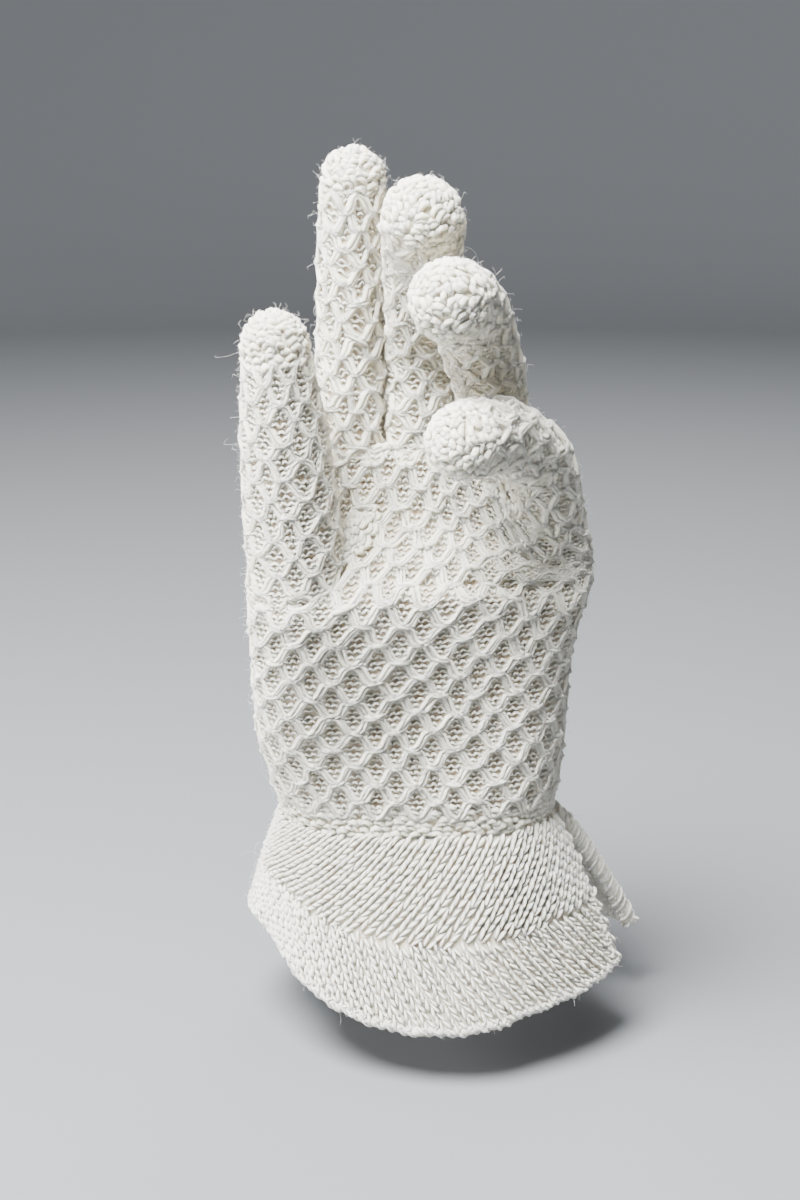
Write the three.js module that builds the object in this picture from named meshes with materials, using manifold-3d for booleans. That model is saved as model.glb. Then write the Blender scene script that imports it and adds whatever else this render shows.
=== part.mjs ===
// Lady's angora dress glove for the left hand: a honeycomb-knitted hand tube, five knitted
// digits and a short flared cuff, slit on the little finger's side. It keeps the shape of a
// raised, half-open hand. Millimetres and degrees: fingers up +Z, palm towards -Y, little
// finger towards +X, origin in the middle of the wrist where the cuff is joined to the hand.
import * as THREE from 'three';
import { mergeVertices } from 'three/addons/utils/BufferGeometryUtils.js';
import Module from 'manifold-3d';

const wasm = await Module();
wasm.setup();

// Fabric
const HAND_WALL = 2.4;
const DIGIT_WALL = 1.9;
const CUFF_WALL = 2.4;
const PIECE_GAP = 0.3;
const SIDE_GAP = 0.5;
const WEAVE_SOFTNESS = 0.55;
const WEB_SOFTNESS = 1.2;

// Digits: the root is the knuckle's centre, splay leans the digit towards +X and yaw turns
// its curl towards the thumb. bends are at the knuckle and the two finger joints, phalanges
// are the three lengths, web is where the digit leaves the hand, and radii are at the
// knuckle, the web, the two joints and the tip. flat says which sides press on a neighbour,
// lift is how far past the web the digit's own tube begins, and reach is how far its hollow
// runs back into the hand's.
const FINGERS = [
  {
    name: 'index_finger', root: [-15.7, 1, 62], splay: 1.1, yaw: 0, bends: [-1, 4, 7],
    phalanges: [42, 25, 21], web: 24, lift: PIECE_GAP, reach: 4, radii: [12.3, 7.6, 7.5, 7.4, 6.9],
    flat: { left: false, right: true },
  },
  {
    name: 'middle_finger', root: [0.2, 2, 62], splay: 0.5, yaw: 1, bends: [1, 25, 28],
    phalanges: [42, 27, 21], web: 24, lift: -6, reach: 7, radii: [12.3, 7.7, 7.7, 8.1, 8.4],
    flat: { left: true, right: true },
  },
  {
    name: 'ring_finger', root: [16.2, 2, 60.5], splay: 2.6, yaw: 19, bends: [11, 37, 30],
    phalanges: [40, 26, 21], web: 22, lift: -6, reach: 7, radii: [11.8, 7.7, 7.7, 8.0, 8.4],
    flat: { left: true, right: true },
  },
  {
    name: 'little_finger', root: [31.8, 0, 56], splay: 5, yaw: 35, bends: [27, 42, 24],
    phalanges: [31, 20, 20], web: 19, lift: PIECE_GAP, reach: 4, radii: [8.9, 7.3, 7.4, 7.7, 7.9],
    flat: { left: true, right: false },
  },
];
const THUMB = {
  name: 'thumb', root: [-24.4, -16, 34], splay: -4.3, yaw: 0, bends: [3, 2, 3],
  phalanges: [26, 32, 26], web: 24, lift: -6, reach: 12, radii: [10.8, 11.2, 10.9, 9.6, 7.7],
  flat: { left: false, right: false },
};
const JOINT_SOFTNESS = 8;
const WEB_SQUARENESS = 3.2;
const ROUNDING_LENGTH = 14;
const DIGIT_SIDES = 16;
const DIGIT_RINGS = 12;
const TIP_RINGS = 4;
const LINER_SIDES = 12;
const LINER_RINGS = 10;

// Heel of the hand: each level is a soft hull round four circles, [x, towards the palm, radius].
const HEEL_LEVELS = [
  { z: 0, radial: [-13.5, 0, 17.0], ulnar: [13.5, 0, 17.0], thumb: [-13.5, 2, 16.6], pad: [12.5, 2, 16.6] },
  { z: 8, radial: [-16.0, 0, 15.9], ulnar: [16.0, 0, 15.6], thumb: [-18.0, 5, 14.2], pad: [14.5, 4, 15.6] },
  { z: 20, radial: [-20.5, -1, 13.8], ulnar: [18.6, -1, 13.8], thumb: [-23.3, 9, 12.4], pad: [17.5, 5, 14.0] },
  { z: 34, radial: [-21.0, -2, 12.8], ulnar: [20.5, -2, 12.6], thumb: [-24.8, 14, 11.4], pad: [19.2, 5, 13.2] },
  { z: 46, radial: [-21.0, -2, 12.4], ulnar: [22.6, -2, 12.2], thumb: [-25.5, 17, 11.0], pad: [22.0, 5, 12.6] },
  { z: 52, radial: [-20.0, -2, 12.2], ulnar: [25.2, -2, 11.8], thumb: [-25.9, 18.3, 11.0], pad: [24.8, 4, 12.3] },
  { z: 56, radial: [-19.5, -1.5, 12.0], ulnar: [26.6, -1.5, 11.2], thumb: [-26.0, 17.6, 10.8], pad: [26.0, 3, 11.8] },
];
const HEEL_STEPS = 9;
const HAND_SIDES = 44;
const PALM_NORMAL = new THREE.Vector3(0, -1, 0);
const ACROSS = new THREE.Vector3(1, 0, 0);
const CREASE_RISE = 1.5;
const CREASE_SHARES = [0.22, 0.6];
const KNUCKLE_SHARES = [0.32, 0.55, 0.78, 1];
const LINER_DROP = 5;

// Cuff: points of the hem from the slit's back edge, round the back and the palm, to its
// front edge. flare under 1 opens the cuff soon after the wrist.
const HEM_POINTS = [
  [53.5, 12, -34], [45, 27, -37], [20, 38, -40], [-12, 38, -39], [-33, 24, -34], [-40, 8, -27], [-39, -3, -25],
  [-33.5, -13, -27.5], [-26.8, -22.5, -33.7], [-16, -31, -37.8], [-2, -36, -40], [14, -36, -39.5],
  [27, -30, -37.5], [38, -22, -36.3], [47.5, -11, -34],
];
const CUFF_FLARE = 0.8;
const CUFF_COLUMNS = 60;
const CUFF_ROWS = 7;
const SLIT_HALF_ANGLE = 2.5;
const HEM_WAVE = 0.35;
const HEM_WAVES = 15;

const WHITE_ANGORA = 0xefece4;
const CUFF_ANGORA = 0xf3f0ea;

function radians(degrees) {
  return degrees * Math.PI / 180;
}

function smooth(value) {
  const share = THREE.MathUtils.clamp(value, 0, 1);
  return share * share * (3 - 2 * share);
}

function sum(values) {
  return values.reduce((total, value) => total + value, 0);
}

// Value at x of a line through the points (stops[i], values[i]).
function along(x, stops, values) {
  let index = 0;
  while (index < stops.length - 2 && x > stops[index + 1]) index += 1;
  const share = (x - stops[index]) / (stops[index + 1] - stops[index]);
  return THREE.MathUtils.lerp(values[index], values[index + 1], THREE.MathUtils.clamp(share, 0, 1));
}

// Place, direction, palm normal and side of a digit at a distance from its knuckle.
function digitFrame(digit, distance) {
  const up = new THREE.Vector3(Math.sin(radians(digit.splay)), 0, Math.cos(radians(digit.splay)));
  const curl = new THREE.Vector3(-Math.sin(radians(digit.yaw)), -Math.cos(radians(digit.yaw)), 0);
  curl.addScaledVector(up, -curl.dot(up)).normalize();
  const side = new THREE.Vector3().crossVectors(curl, up);
  const joints = [digit.phalanges[0], digit.phalanges[0] + digit.phalanges[1]];
  const bendAt = (s) => radians(digit.bends[0]
    + digit.bends[1] * smooth((s - joints[0] + JOINT_SOFTNESS) / (2 * JOINT_SOFTNESS))
    + digit.bends[2] * smooth((s - joints[1] + JOINT_SOFTNESS) / (2 * JOINT_SOFTNESS)));
  const point = new THREE.Vector3(...digit.root);
  const steps = Math.max(1, Math.ceil(distance));
  for (let i = 0; i < steps; i += 1) {
    const angle = bendAt((i + 0.5) * distance / steps);
    point.addScaledVector(up, Math.cos(angle) * distance / steps);
    point.addScaledVector(curl, Math.sin(angle) * distance / steps);
  }
  const bend = bendAt(distance);
  const normal = curl.clone().multiplyScalar(Math.cos(bend)).addScaledVector(up, -Math.sin(bend));
  return { point, normal, side: side.x < 0 ? side.negate() : side };
}

function digitRadius(digit, distance) {
  const [first, second, third] = digit.phalanges;
  const end = first + second + third - digit.radii[4];
  return along(distance, [0, digit.web, first, first + second, end], digit.radii);
}

// Rings of a digit from start to its rounded tip, shrunk by inset.
function digitRings(digit, start, inset, sides, rings) {
  const tip = digit.radii[4];
  const end = sum(digit.phalanges) - tip;
  const stations = [];
  for (let i = 0; i <= rings; i += 1) {
    stations.push({ s: THREE.MathUtils.lerp(start, end, i / rings), share: 1 });
  }
  for (let i = 1; i <= TIP_RINGS; i += 1) {
    const angle = Math.PI / 2 * i / TIP_RINGS;
    stations.push({ s: end + (tip - inset) * Math.sin(angle), share: Math.cos(angle) });
  }
  return stations.map(({ s, share }) => {
    const frame = digitFrame(digit, s);
    const radius = (digitRadius(digit, Math.min(s, end)) - inset) * share;
    const roundness = smooth((s - digit.web) / ROUNDING_LENGTH);
    const ring = [];
    for (let k = 0; k < sides; k += 1) {
      const angle = 2 * Math.PI * k / sides;
      const across = -Math.cos(angle);
      const flat = across < 0 ? digit.flat.left : digit.flat.right;
      const power = flat ? THREE.MathUtils.lerp(WEB_SQUARENESS, 2, roundness) : 2;
      const size = radius * (Math.abs(across) ** power + Math.abs(Math.sin(angle)) ** power) ** (-1 / power);
      ring.push(frame.point.clone()
        .addScaledVector(frame.side, across * size)
        .addScaledVector(frame.normal, Math.sin(angle) * size));
    }
    return ring;
  });
}

// Soft hull round circles [x, v, radius], as points [x, v] from +x by the palm to -x and
// back, evenly spaced along each of the two halves.
function hullOutline(circles, sides, softness, grow) {
  const dense = 720;
  const points = [];
  for (let i = 0; i < dense; i += 1) {
    const angle = 2 * Math.PI * i / dense;
    const [nx, nv] = [Math.cos(angle), Math.sin(angle)];
    const reaches = circles.map(([x, v, r]) => nx * x + nv * v + r);
    const slopes = circles.map(([x, v]) => nx * v - nv * x);
    const furthest = Math.max(...reaches);
    const weights = reaches.map((reach) => Math.exp(softness * (reach - furthest)));
    const total = sum(weights);
    const reach = furthest + Math.log(total) / softness + grow;
    const slope = sum(weights.map((weight, k) => weight * slopes[k])) / total;
    points.push(new THREE.Vector2(nx * reach - nv * slope, nv * reach + nx * slope));
  }
  points.push(points[0]);
  const lengths = [0];
  for (let i = 1; i <= dense; i += 1) lengths.push(lengths[i - 1] + points[i].distanceTo(points[i - 1]));
  const halfway = lengths[dense / 2];
  const outline = [];
  for (let k = 0; k < sides; k += 1) {
    const turn = 2 * k / sides;
    const place = turn < 1 ? halfway * turn : THREE.MathUtils.lerp(halfway, lengths[dense], turn - 1);
    outline.push([along(place, lengths, points.map((p) => p.x)), along(place, lengths, points.map((p) => p.y))]);
  }
  return outline;
}

function heelCircles(z) {
  const stops = HEEL_LEVELS.map((level) => level.z);
  return ['radial', 'ulnar', 'thumb', 'pad'].map((name) => (
    [0, 1, 2].map((k) => along(z, stops, HEEL_LEVELS.map((level) => level[name][k])))
  ));
}

function heelRing(z, grow) {
  const outline = hullOutline(heelCircles(z), HAND_SIDES, WEAVE_SOFTNESS, grow);
  return outline.map(([x, v]) => new THREE.Vector3(x, -v, z));
}

// Ring across the four knuckles at a share of the way from the knuckles to the webs. It
// runs round a spine through the four digits' centres, turning with their palm normals.
function knuckleRing(share, grow) {
  const stations = FINGERS.map((finger) => {
    const frame = digitFrame(finger, share * finger.web);
    return {
      point: frame.point,
      side: ACROSS.clone().lerp(frame.side, Math.min(1, share)).normalize(),
      normal: PALM_NORMAL.clone().lerp(frame.normal, Math.min(1, share)).normalize(),
      radius: digitRadius(finger, share * finger.web),
    };
  });
  const last = stations.length - 1;
  stations.forEach((station, k) => {
    const before = stations[k - 1];
    station.place = k === 0 ? station.point.x : before.place + station.point.distanceTo(before.point);
    station.run = k === 0 || k === last
      ? station.side
      : stations[k + 1].point.clone().sub(before.point).normalize();
  });
  const spineAt = (place) => {
    const end = place <= stations[0].place ? stations[0] : stations[last];
    if (place <= stations[0].place || place >= stations[last].place) {
      return { centre: end.point.clone().addScaledVector(end.side, place - end.place), normal: end.normal };
    }
    const k = stations.findIndex((station) => station.place > place) - 1;
    const [a, b] = [stations[k], stations[k + 1]];
    const length = b.place - a.place;
    const t = (place - a.place) / length;
    const centre = a.point.clone().lerp(b.point, smooth(t))
      .addScaledVector(a.run, length * t * (1 - t) ** 2)
      .addScaledVector(b.run, -length * t * t * (1 - t));
    return { centre, normal: a.normal.clone().lerp(b.normal, smooth(t)).normalize() };
  };
  const circles = stations.map((station) => [station.place, 0, station.radius]);
  return hullOutline(circles, HAND_SIDES, WEB_SOFTNESS, grow - PIECE_GAP).map(([place, v]) => {
    const { centre, normal } = spineAt(place);
    return { rim: centre.clone().addScaledVector(normal, v), spine: centre };
  });
}

// Rings of the hand tube, heel, crease and knuckles, ending on a line along the webs.
function handRings(grow, bottom, top) {
  const heelTop = HEEL_LEVELS[HEEL_LEVELS.length - 1].z;
  const rings = [];
  if (bottom < 0) rings.push(heelRing(0, grow).map((point) => point.setZ(bottom)));
  for (let i = 0; i <= HEEL_STEPS; i += 1) rings.push(heelRing(heelTop * i / HEEL_STEPS, grow));
  const heel = rings[rings.length - 1];
  const knuckles = KNUCKLE_SHARES.map((share) => knuckleRing(share === 1 ? top : share, grow));
  CREASE_SHARES.forEach((share) => {
    rings.push(heel.map((point, k) => {
      const fold = point.clone().lerp(knuckles[0][k].rim, share);
      return fold.setZ(fold.z + (CREASE_RISE + grow) * (1 - share));
    }));
  });
  knuckles.forEach((ring) => rings.push(ring.map((entry) => entry.rim)));
  rings.push(knuckles[knuckles.length - 1].map((entry) => entry.spine));
  return rings;
}

// Closed solid through rings of equal length. Each end is a flat fan or is already closed.
function ringSolid(rings, capEnd) {
  const corners = [];
  const triangle = (a, b, c) => corners.push(a, b, c);
  const sides = rings[0].length;
  for (let i = 0; i < rings.length - 1; i += 1) {
    for (let k = 0; k < sides; k += 1) {
      const next = (k + 1) % sides;
      triangle(rings[i][k], rings[i][next], rings[i + 1][next]);
      triangle(rings[i][k], rings[i + 1][next], rings[i + 1][k]);
    }
  }
  const fan = (ring, flip) => {
    const centre = ring.reduce((total, point) => total.add(point), new THREE.Vector3()).divideScalar(sides);
    for (let k = 0; k < sides; k += 1) {
      const [a, b] = flip ? [ring[(k + 1) % sides], ring[k]] : [ring[k], ring[(k + 1) % sides]];
      triangle(a, b, centre);
    }
  };
  fan(rings[0], true);
  if (capEnd) fan(rings[rings.length - 1], false);
  return solidFromCorners(corners);
}

// Merges shared corners, drops empty triangles, turns faces outwards and loads the solid.
function solidFromCorners(corners) {
  const soup = new THREE.BufferGeometry().setFromPoints(corners);
  soup.setIndex(corners.map((corner, index) => index));
  const merged = mergeVertices(soup, 1e-4);
  const places = merged.getAttribute('position').array;
  const index = merged.getIndex().array;
  const faces = [];
  for (let i = 0; i < index.length; i += 3) {
    const [a, b, c] = [index[i], index[i + 1], index[i + 2]];
    if (a !== b && b !== c && c !== a) faces.push([a, b, c]);
  }
  const corner = (k) => new THREE.Vector3().fromArray(places, 3 * k);
  const volume = sum(faces.map(([a, b, c]) => corner(a).dot(corner(b).cross(corner(c)))));
  const outward = volume < 0 ? faces.map(([a, b, c]) => [a, c, b]) : faces;
  return new wasm.Manifold(new wasm.Mesh({
    numProp: 3,
    vertProperties: new Float32Array(places),
    triVerts: new Uint32Array(outward.flat()),
  }));
}

function material(colour) {
  return new THREE.MeshStandardMaterial({ color: colour, roughness: 0.95, metalness: 0 });
}

// The main body of a solid, without the crumbs that a cut can leave.
function mainBody(solid) {
  return solid.decompose().reduce((best, body) => (body.volume() > best.volume() ? body : best));
}

function meshFromSolid(name, solid, colour) {
  const { vertProperties, triVerts } = mainBody(solid).getMesh();
  const geometry = new THREE.BufferGeometry();
  geometry.setAttribute('position', new THREE.BufferAttribute(new Float32Array(vertProperties), 3));
  geometry.setIndex(new THREE.BufferAttribute(new Uint32Array(triVerts), 1));
  geometry.computeVertexNormals();
  const mesh = new THREE.Mesh(geometry, material(colour));
  mesh.name = name;
  return mesh;
}

function digitShell(digit, grow) {
  return ringSolid(digitRings(digit, digit.web + digit.lift, -grow, DIGIT_SIDES, DIGIT_RINGS), false);
}

function digitLiner(digit) {
  return ringSolid(digitRings(digit, digit.web - digit.reach, DIGIT_WALL, LINER_SIDES, LINER_RINGS), false);
}

// Flared cuff: a sheet from the slit's back edge round to its front edge.
function cuffSolid() {
  const hem = new THREE.CatmullRomCurve3(HEM_POINTS.map((p) => new THREE.Vector3(...p)), false, 'centripetal');
  const wrist = new THREE.CatmullRomCurve3(heelRing(0, 0), true, 'centripetal');
  const wristPoint = (share) => {
    const angle = radians(THREE.MathUtils.lerp(SLIT_HALF_ANGLE, 360 - SLIT_HALF_ANGLE, share));
    return wrist.getPointAt(1 - angle / (2 * Math.PI));
  };
  const outer = [];
  for (let i = 0; i <= CUFF_ROWS; i += 1) {
    const drop = i / CUFF_ROWS;
    const row = [];
    for (let k = 0; k <= CUFF_COLUMNS; k += 1) {
      const share = k / CUFF_COLUMNS;
      const top = wristPoint(share).setZ(-PIECE_GAP);
      const bottom = hem.getPointAt(share);
      bottom.z += HEM_WAVE * Math.sin(2 * Math.PI * HEM_WAVES * share);
      const point = top.clone().lerp(bottom, drop ** CUFF_FLARE);
      row.push(point.setZ(THREE.MathUtils.lerp(top.z, bottom.z, drop)));
    }
    outer.push(row);
  }
  return sheetSolid(outer, CUFF_WALL);
}

// Closed sheet of even thickness behind a grid of outer points.
function sheetSolid(outer, thickness) {
  const lastRow = outer.length - 1;
  const lastColumn = outer[0].length - 1;
  const inner = outer.map((row, i) => row.map((point, k) => {
    const down = outer[Math.min(i + 1, lastRow)][k].clone().sub(outer[Math.max(i - 1, 0)][k]);
    const round = row[Math.min(k + 1, lastColumn)].clone().sub(row[Math.max(k - 1, 0)]);
    const normal = new THREE.Vector3().crossVectors(round, down).normalize();
    if (i === 0) normal.setZ(0).normalize();
    const inward = normal.x * point.x + normal.y * point.y > 0 ? -1 : 1;
    return point.clone().addScaledVector(normal, inward * thickness);
  }));
  const corners = [];
  const quad = (a, b, c, d) => corners.push(a, b, c, a, c, d);
  for (let i = 0; i < lastRow; i += 1) {
    for (let k = 0; k < lastColumn; k += 1) {
      quad(outer[i][k], outer[i][k + 1], outer[i + 1][k + 1], outer[i + 1][k]);
      quad(inner[i][k], inner[i + 1][k], inner[i + 1][k + 1], inner[i][k + 1]);
    }
    quad(outer[i][0], outer[i + 1][0], inner[i + 1][0], inner[i][0]);
    quad(outer[i][lastColumn], inner[i][lastColumn], inner[i + 1][lastColumn], outer[i + 1][lastColumn]);
  }
  for (let k = 0; k < lastColumn; k += 1) {
    quad(outer[0][k], inner[0][k], inner[0][k + 1], outer[0][k + 1]);
    quad(outer[lastRow][k], outer[lastRow][k + 1], inner[lastRow][k + 1], inner[lastRow][k]);
  }
  return solidFromCorners(corners);
}

const digits = [...FINGERS, THUMB];
const liners = digits.map(digitLiner);
const webDepth = HAND_WALL / FINGERS[0].web;
const handBody = ringSolid(handRings(0, 0, 1), false);
const handKeepOut = ringSolid(handRings(SIDE_GAP, 0, 1 + PIECE_GAP / FINGERS[0].web), false);
const handLiner = ringSolid(handRings(-HAND_WALL, -LINER_DROP, 1 - webDepth), false);
const hollow = liners.reduce((total, liner) => total.add(liner), handLiner);

const glove = new THREE.Group();
glove.add(meshFromSolid('hand', handBody.subtract(hollow), WHITE_ANGORA));
let keepOut = handKeepOut;
digits.forEach((digit) => {
  const shell = digitShell(digit, 0).subtract(keepOut).subtract(hollow);
  glove.add(meshFromSolid(digit.name, shell, WHITE_ANGORA));
  keepOut = keepOut.add(digitShell(digit, PIECE_GAP));
});
glove.add(meshFromSolid('cuff', cuffSolid(), CUFF_ANGORA));

export default glove;
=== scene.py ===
import math

import bpy
import numpy as np
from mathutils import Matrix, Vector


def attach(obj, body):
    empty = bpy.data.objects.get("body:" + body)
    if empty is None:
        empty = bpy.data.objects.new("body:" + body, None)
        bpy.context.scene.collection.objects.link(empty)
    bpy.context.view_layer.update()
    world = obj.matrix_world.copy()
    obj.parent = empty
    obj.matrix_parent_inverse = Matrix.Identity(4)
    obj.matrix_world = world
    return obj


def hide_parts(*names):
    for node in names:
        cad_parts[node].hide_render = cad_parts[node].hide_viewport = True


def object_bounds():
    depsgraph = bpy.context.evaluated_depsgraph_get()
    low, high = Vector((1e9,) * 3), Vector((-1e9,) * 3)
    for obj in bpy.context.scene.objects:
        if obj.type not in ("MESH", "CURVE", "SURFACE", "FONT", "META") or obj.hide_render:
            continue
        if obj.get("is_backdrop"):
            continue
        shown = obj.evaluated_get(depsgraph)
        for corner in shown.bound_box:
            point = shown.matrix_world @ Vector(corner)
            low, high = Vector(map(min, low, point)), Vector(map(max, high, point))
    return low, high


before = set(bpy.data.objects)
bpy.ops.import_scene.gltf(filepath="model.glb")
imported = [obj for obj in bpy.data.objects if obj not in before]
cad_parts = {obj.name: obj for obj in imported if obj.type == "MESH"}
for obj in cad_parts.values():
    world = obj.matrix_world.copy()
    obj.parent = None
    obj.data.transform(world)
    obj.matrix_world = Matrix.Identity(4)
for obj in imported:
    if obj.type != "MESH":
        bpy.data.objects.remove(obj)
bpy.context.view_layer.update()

# The knitted hand: a tube of honeycomb from the wrist to the webs of the fingers, knitted in
# the round from soft angora yarn. Its floats are gathered at staggered nodes, so they stand
# up as a net of ridges round cells filled with small purl stitches. Sizes are in mm.
MM = 0.001
HAND_WALL = 2.2
HAND_CELLS_ROUND = 20
HAND_CELL = (9.4, 8.6)
HAND_GIRTH = HAND_CELLS_ROUND * HAND_CELL[0]
GRID_STEP = 0.5
HAND_MESH_STEP = 0.95
INSIDE_COARSENESS = 5
# Painted shade weights, from 0 to 1, for the glove's inner skin and for the lip turned in at the top and
# the digits' tip poles.
INSIDE_PAINTED_SHADE = 0.6
LIP_AND_POLE_PAINTED_SHADE = 0.5
# The yarn's own colour, and the painted shade colour that the ground is darkened towards in the cells'
# hollows.
YARN_WHITE = (0.88, 0.815, 0.65)
PAINTED_HOLLOW_SHADE = (0.50, 0.405, 0.29)

# root is the knuckle's centre, web where the digit leaves the hand, radii at the knuckle,
# web, two joints and tip, and flat the sides that press on a neighbour, left and right.
# splay, yaw and bends are in degrees.
FINGERS = [
    dict(name="index_finger", root=(-15.7, 1, 62), splay=1.1, yaw=0, bends=(-1, 4, 7),
         phalanges=(42, 25, 21), web=24, radii=(12.3, 7.6, 7.5, 7.4, 6.9), flat=(False, True)),
    dict(name="middle_finger", root=(0.2, 2, 62), splay=0.5, yaw=1, bends=(1, 25, 28),
         phalanges=(42, 27, 21), web=24, radii=(12.3, 7.7, 7.7, 8.1, 8.4), flat=(True, True)),
    dict(name="ring_finger", root=(16.2, 2, 60.5), splay=2.6, yaw=19, bends=(11, 37, 30),
         phalanges=(40, 26, 21), web=22, radii=(11.8, 7.7, 7.7, 8.0, 8.4), flat=(True, True)),
    dict(name="little_finger", root=(31.8, 0, 56), splay=5, yaw=35, bends=(27, 42, 24),
         phalanges=(31, 20, 20), web=19, radii=(8.9, 7.3, 7.4, 7.7, 7.9), flat=(True, False)),
]
JOINT_SOFTNESS = 8
LINE_STEP = 0.5

# Heel of the hand. Each level is a height and four circles (x, towards the palm, radius) that
# a soft hull goes round: the thumb's side, the little finger's side, the ball of the thumb
# and the pad opposite.
HEEL_LEVELS = [
    (0, (-13.5, 0, 17.0), (13.5, 0, 17.0), (-13.5, 2, 16.6), (12.5, 2, 16.6)),
    (8, (-16.0, 0, 15.9), (16.0, 0, 15.6), (-18.0, 5, 14.2), (14.5, 4, 15.6)),
    (20, (-20.5, -1, 13.8), (18.6, -1, 13.8), (-23.3, 9, 12.4), (17.5, 5, 14.0)),
    (34, (-21.0, -2, 12.8), (20.5, -2, 12.6), (-24.8, 14, 11.4), (19.2, 5, 13.2)),
    (46, (-21.0, -2, 12.4), (22.6, -2, 12.2), (-25.5, 17, 11.0), (22.0, 5, 12.6)),
    (52, (-20.0, -2, 12.2), (25.2, -2, 11.8), (-25.9, 18.3, 11.0), (24.8, 4, 12.3)),
    (56, (-19.5, -1.5, 12.0), (26.6, -1.5, 11.2), (-26.0, 17.6, 10.8), (26.0, 3, 11.8)),
]
HEEL_SOFTNESS = 0.55
HEEL_RINGS = 29
WEB_SOFTNESS = 1.2
WEB_SINK = 0.3
CREASE_RISE = 1.5
CREASE_SHARES = (0.22, 0.6)
KNUCKLE_SHARES = (0.32, 0.45, 0.58, 0.71, 0.85, 1.0)
GRID_SIDES = 240


def smooth(value):
    share = np.clip(value, 0, 1)
    return share * share * (3 - 2 * share)


def unit(vectors):
    return vectors / np.maximum(np.linalg.norm(vectors, axis=-1, keepdims=True), 1e-9)


def running_length(points):
    return np.concatenate([[0], np.cumsum(np.linalg.norm(np.diff(points, axis=0), axis=1))])


def along_line(places, stops, points):
    return np.stack([np.interp(places, stops, points[:, i]) for i in range(3)], -1)


def digit_frame(digit, places):
    """Centre and palm normal of a digit at distances from its knuckle, and its side."""
    first, second, third = digit["phalanges"]
    s = np.arange(0, first + second + third + LINE_STEP, LINE_STEP)

    def folded(joint):
        return smooth((s - joint + JOINT_SOFTNESS) / (2 * JOINT_SOFTNESS))

    root, middle, end = digit["bends"]
    bend = np.radians(root + middle * folded(first) + end * folded(first + second))
    splay, yaw = math.radians(digit["splay"]), math.radians(digit["yaw"])
    up = np.array([math.sin(splay), 0, math.cos(splay)])
    curl = np.array([-math.sin(yaw), -math.cos(yaw), 0])
    curl = unit(curl - up * (curl @ up))
    side = np.cross(curl, up)
    side = side if side[0] > 0 else -side
    ahead = np.cos(bend)[:, None] * up + np.sin(bend)[:, None] * curl
    moves = (ahead[1:] + ahead[:-1]) / 2 * LINE_STEP
    line = np.vstack([np.zeros(3), np.cumsum(moves, axis=0)]) + digit["root"]
    palm = np.cos(bend)[:, None] * curl - np.sin(bend)[:, None] * up
    return along_line(places, s, line), unit(along_line(places, s, palm)), side


def digit_radius(digit, places):
    first, second, third = digit["phalanges"]
    end = first + second + third - digit["radii"][4]
    return np.interp(places, [0, digit["web"], first, first + second, end], digit["radii"])


def hull_outline(circles, sides, softness, grow=0.0):
    """Soft hull round circles, as points (x, v) from +x by the palm to -x and back."""
    dense = 1440
    angle = np.linspace(0, 2 * np.pi, dense, endpoint=False)
    out = np.stack([np.cos(angle), np.sin(angle)], 1)
    turn = np.stack([-np.sin(angle), np.cos(angle)], 1)
    circles = np.array(circles, float)
    reaches = out @ circles[:, :2].T + circles[:, 2]
    furthest = reaches.max(1, keepdims=True)
    weights = np.exp(softness * (reaches - furthest))
    total = weights.sum(1)
    reach = furthest[:, 0] + np.log(total) / softness + grow
    slope = (weights * (turn @ circles[:, :2].T)).sum(1) / total
    points = out * reach[:, None] + turn * slope[:, None]
    points = np.vstack([points, points[:1]])
    lengths = running_length(points)
    share = 2 * np.arange(sides) / sides
    halfway = lengths[dense // 2]
    places = np.where(share < 1, halfway * share, halfway + (lengths[-1] - halfway) * (share - 1))
    return np.stack([np.interp(places, lengths, points[:, 0]), np.interp(places, lengths, points[:, 1])], 1)


def heel_ring(z, sides=GRID_SIDES):
    stops = [level[0] for level in HEEL_LEVELS]
    circles = [[np.interp(z, stops, [level[circle][k] for level in HEEL_LEVELS]) for k in range(3)]
               for circle in range(1, 5)]
    outline = hull_outline(circles, sides, HEEL_SOFTNESS)
    return np.stack([outline[:, 0], -outline[:, 1], np.full(sides, float(z))], 1)


def knuckle_ring(share, sides=GRID_SIDES):
    """Ring across the knuckles and its spine, at a share of the way to the webs."""
    across, palm = np.array([1.0, 0, 0]), np.array([0, -1.0, 0])
    points, slants, normals, radii = [], [], [], []
    for finger in FINGERS:
        centre, normal, side = digit_frame(finger, share * finger["web"])
        points.append(centre)
        slants.append(unit(across * (1 - share) + side * share))
        normals.append(unit(palm * (1 - share) + normal * share))
        radii.append(float(digit_radius(finger, share * finger["web"])))
    points, normals = np.array(points), np.array(normals)
    places = points[0, 0] + running_length(points)
    runs = np.array([slants[0], unit(points[2] - points[0]), unit(points[3] - points[1]), slants[3]])
    outline = hull_outline([(p, 0, r) for p, r in zip(places, radii)], sides, WEB_SOFTNESS, -WEB_SINK)
    place = outline[:, 0]
    k = np.clip(np.searchsorted(places, place, side="right") - 1, 0, 2)
    length = places[k + 1] - places[k]
    t = np.clip((place - places[k]) / length, 0, 1)[:, None]
    length = length[:, None]
    mix = smooth(t)
    spine = (points[k] * (1 - mix) + points[k + 1] * mix
             + runs[k] * length * t * (1 - t) ** 2 - runs[k + 1] * length * t * t * (1 - t))
    spine += np.minimum(place - places[0], 0)[:, None] * slants[0]
    spine += np.maximum(place - places[3], 0)[:, None] * slants[3]
    normal = unit(normals[k] * (1 - mix) + normals[k + 1] * mix)
    return spine + normal * outline[:, 1:2], spine


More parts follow.
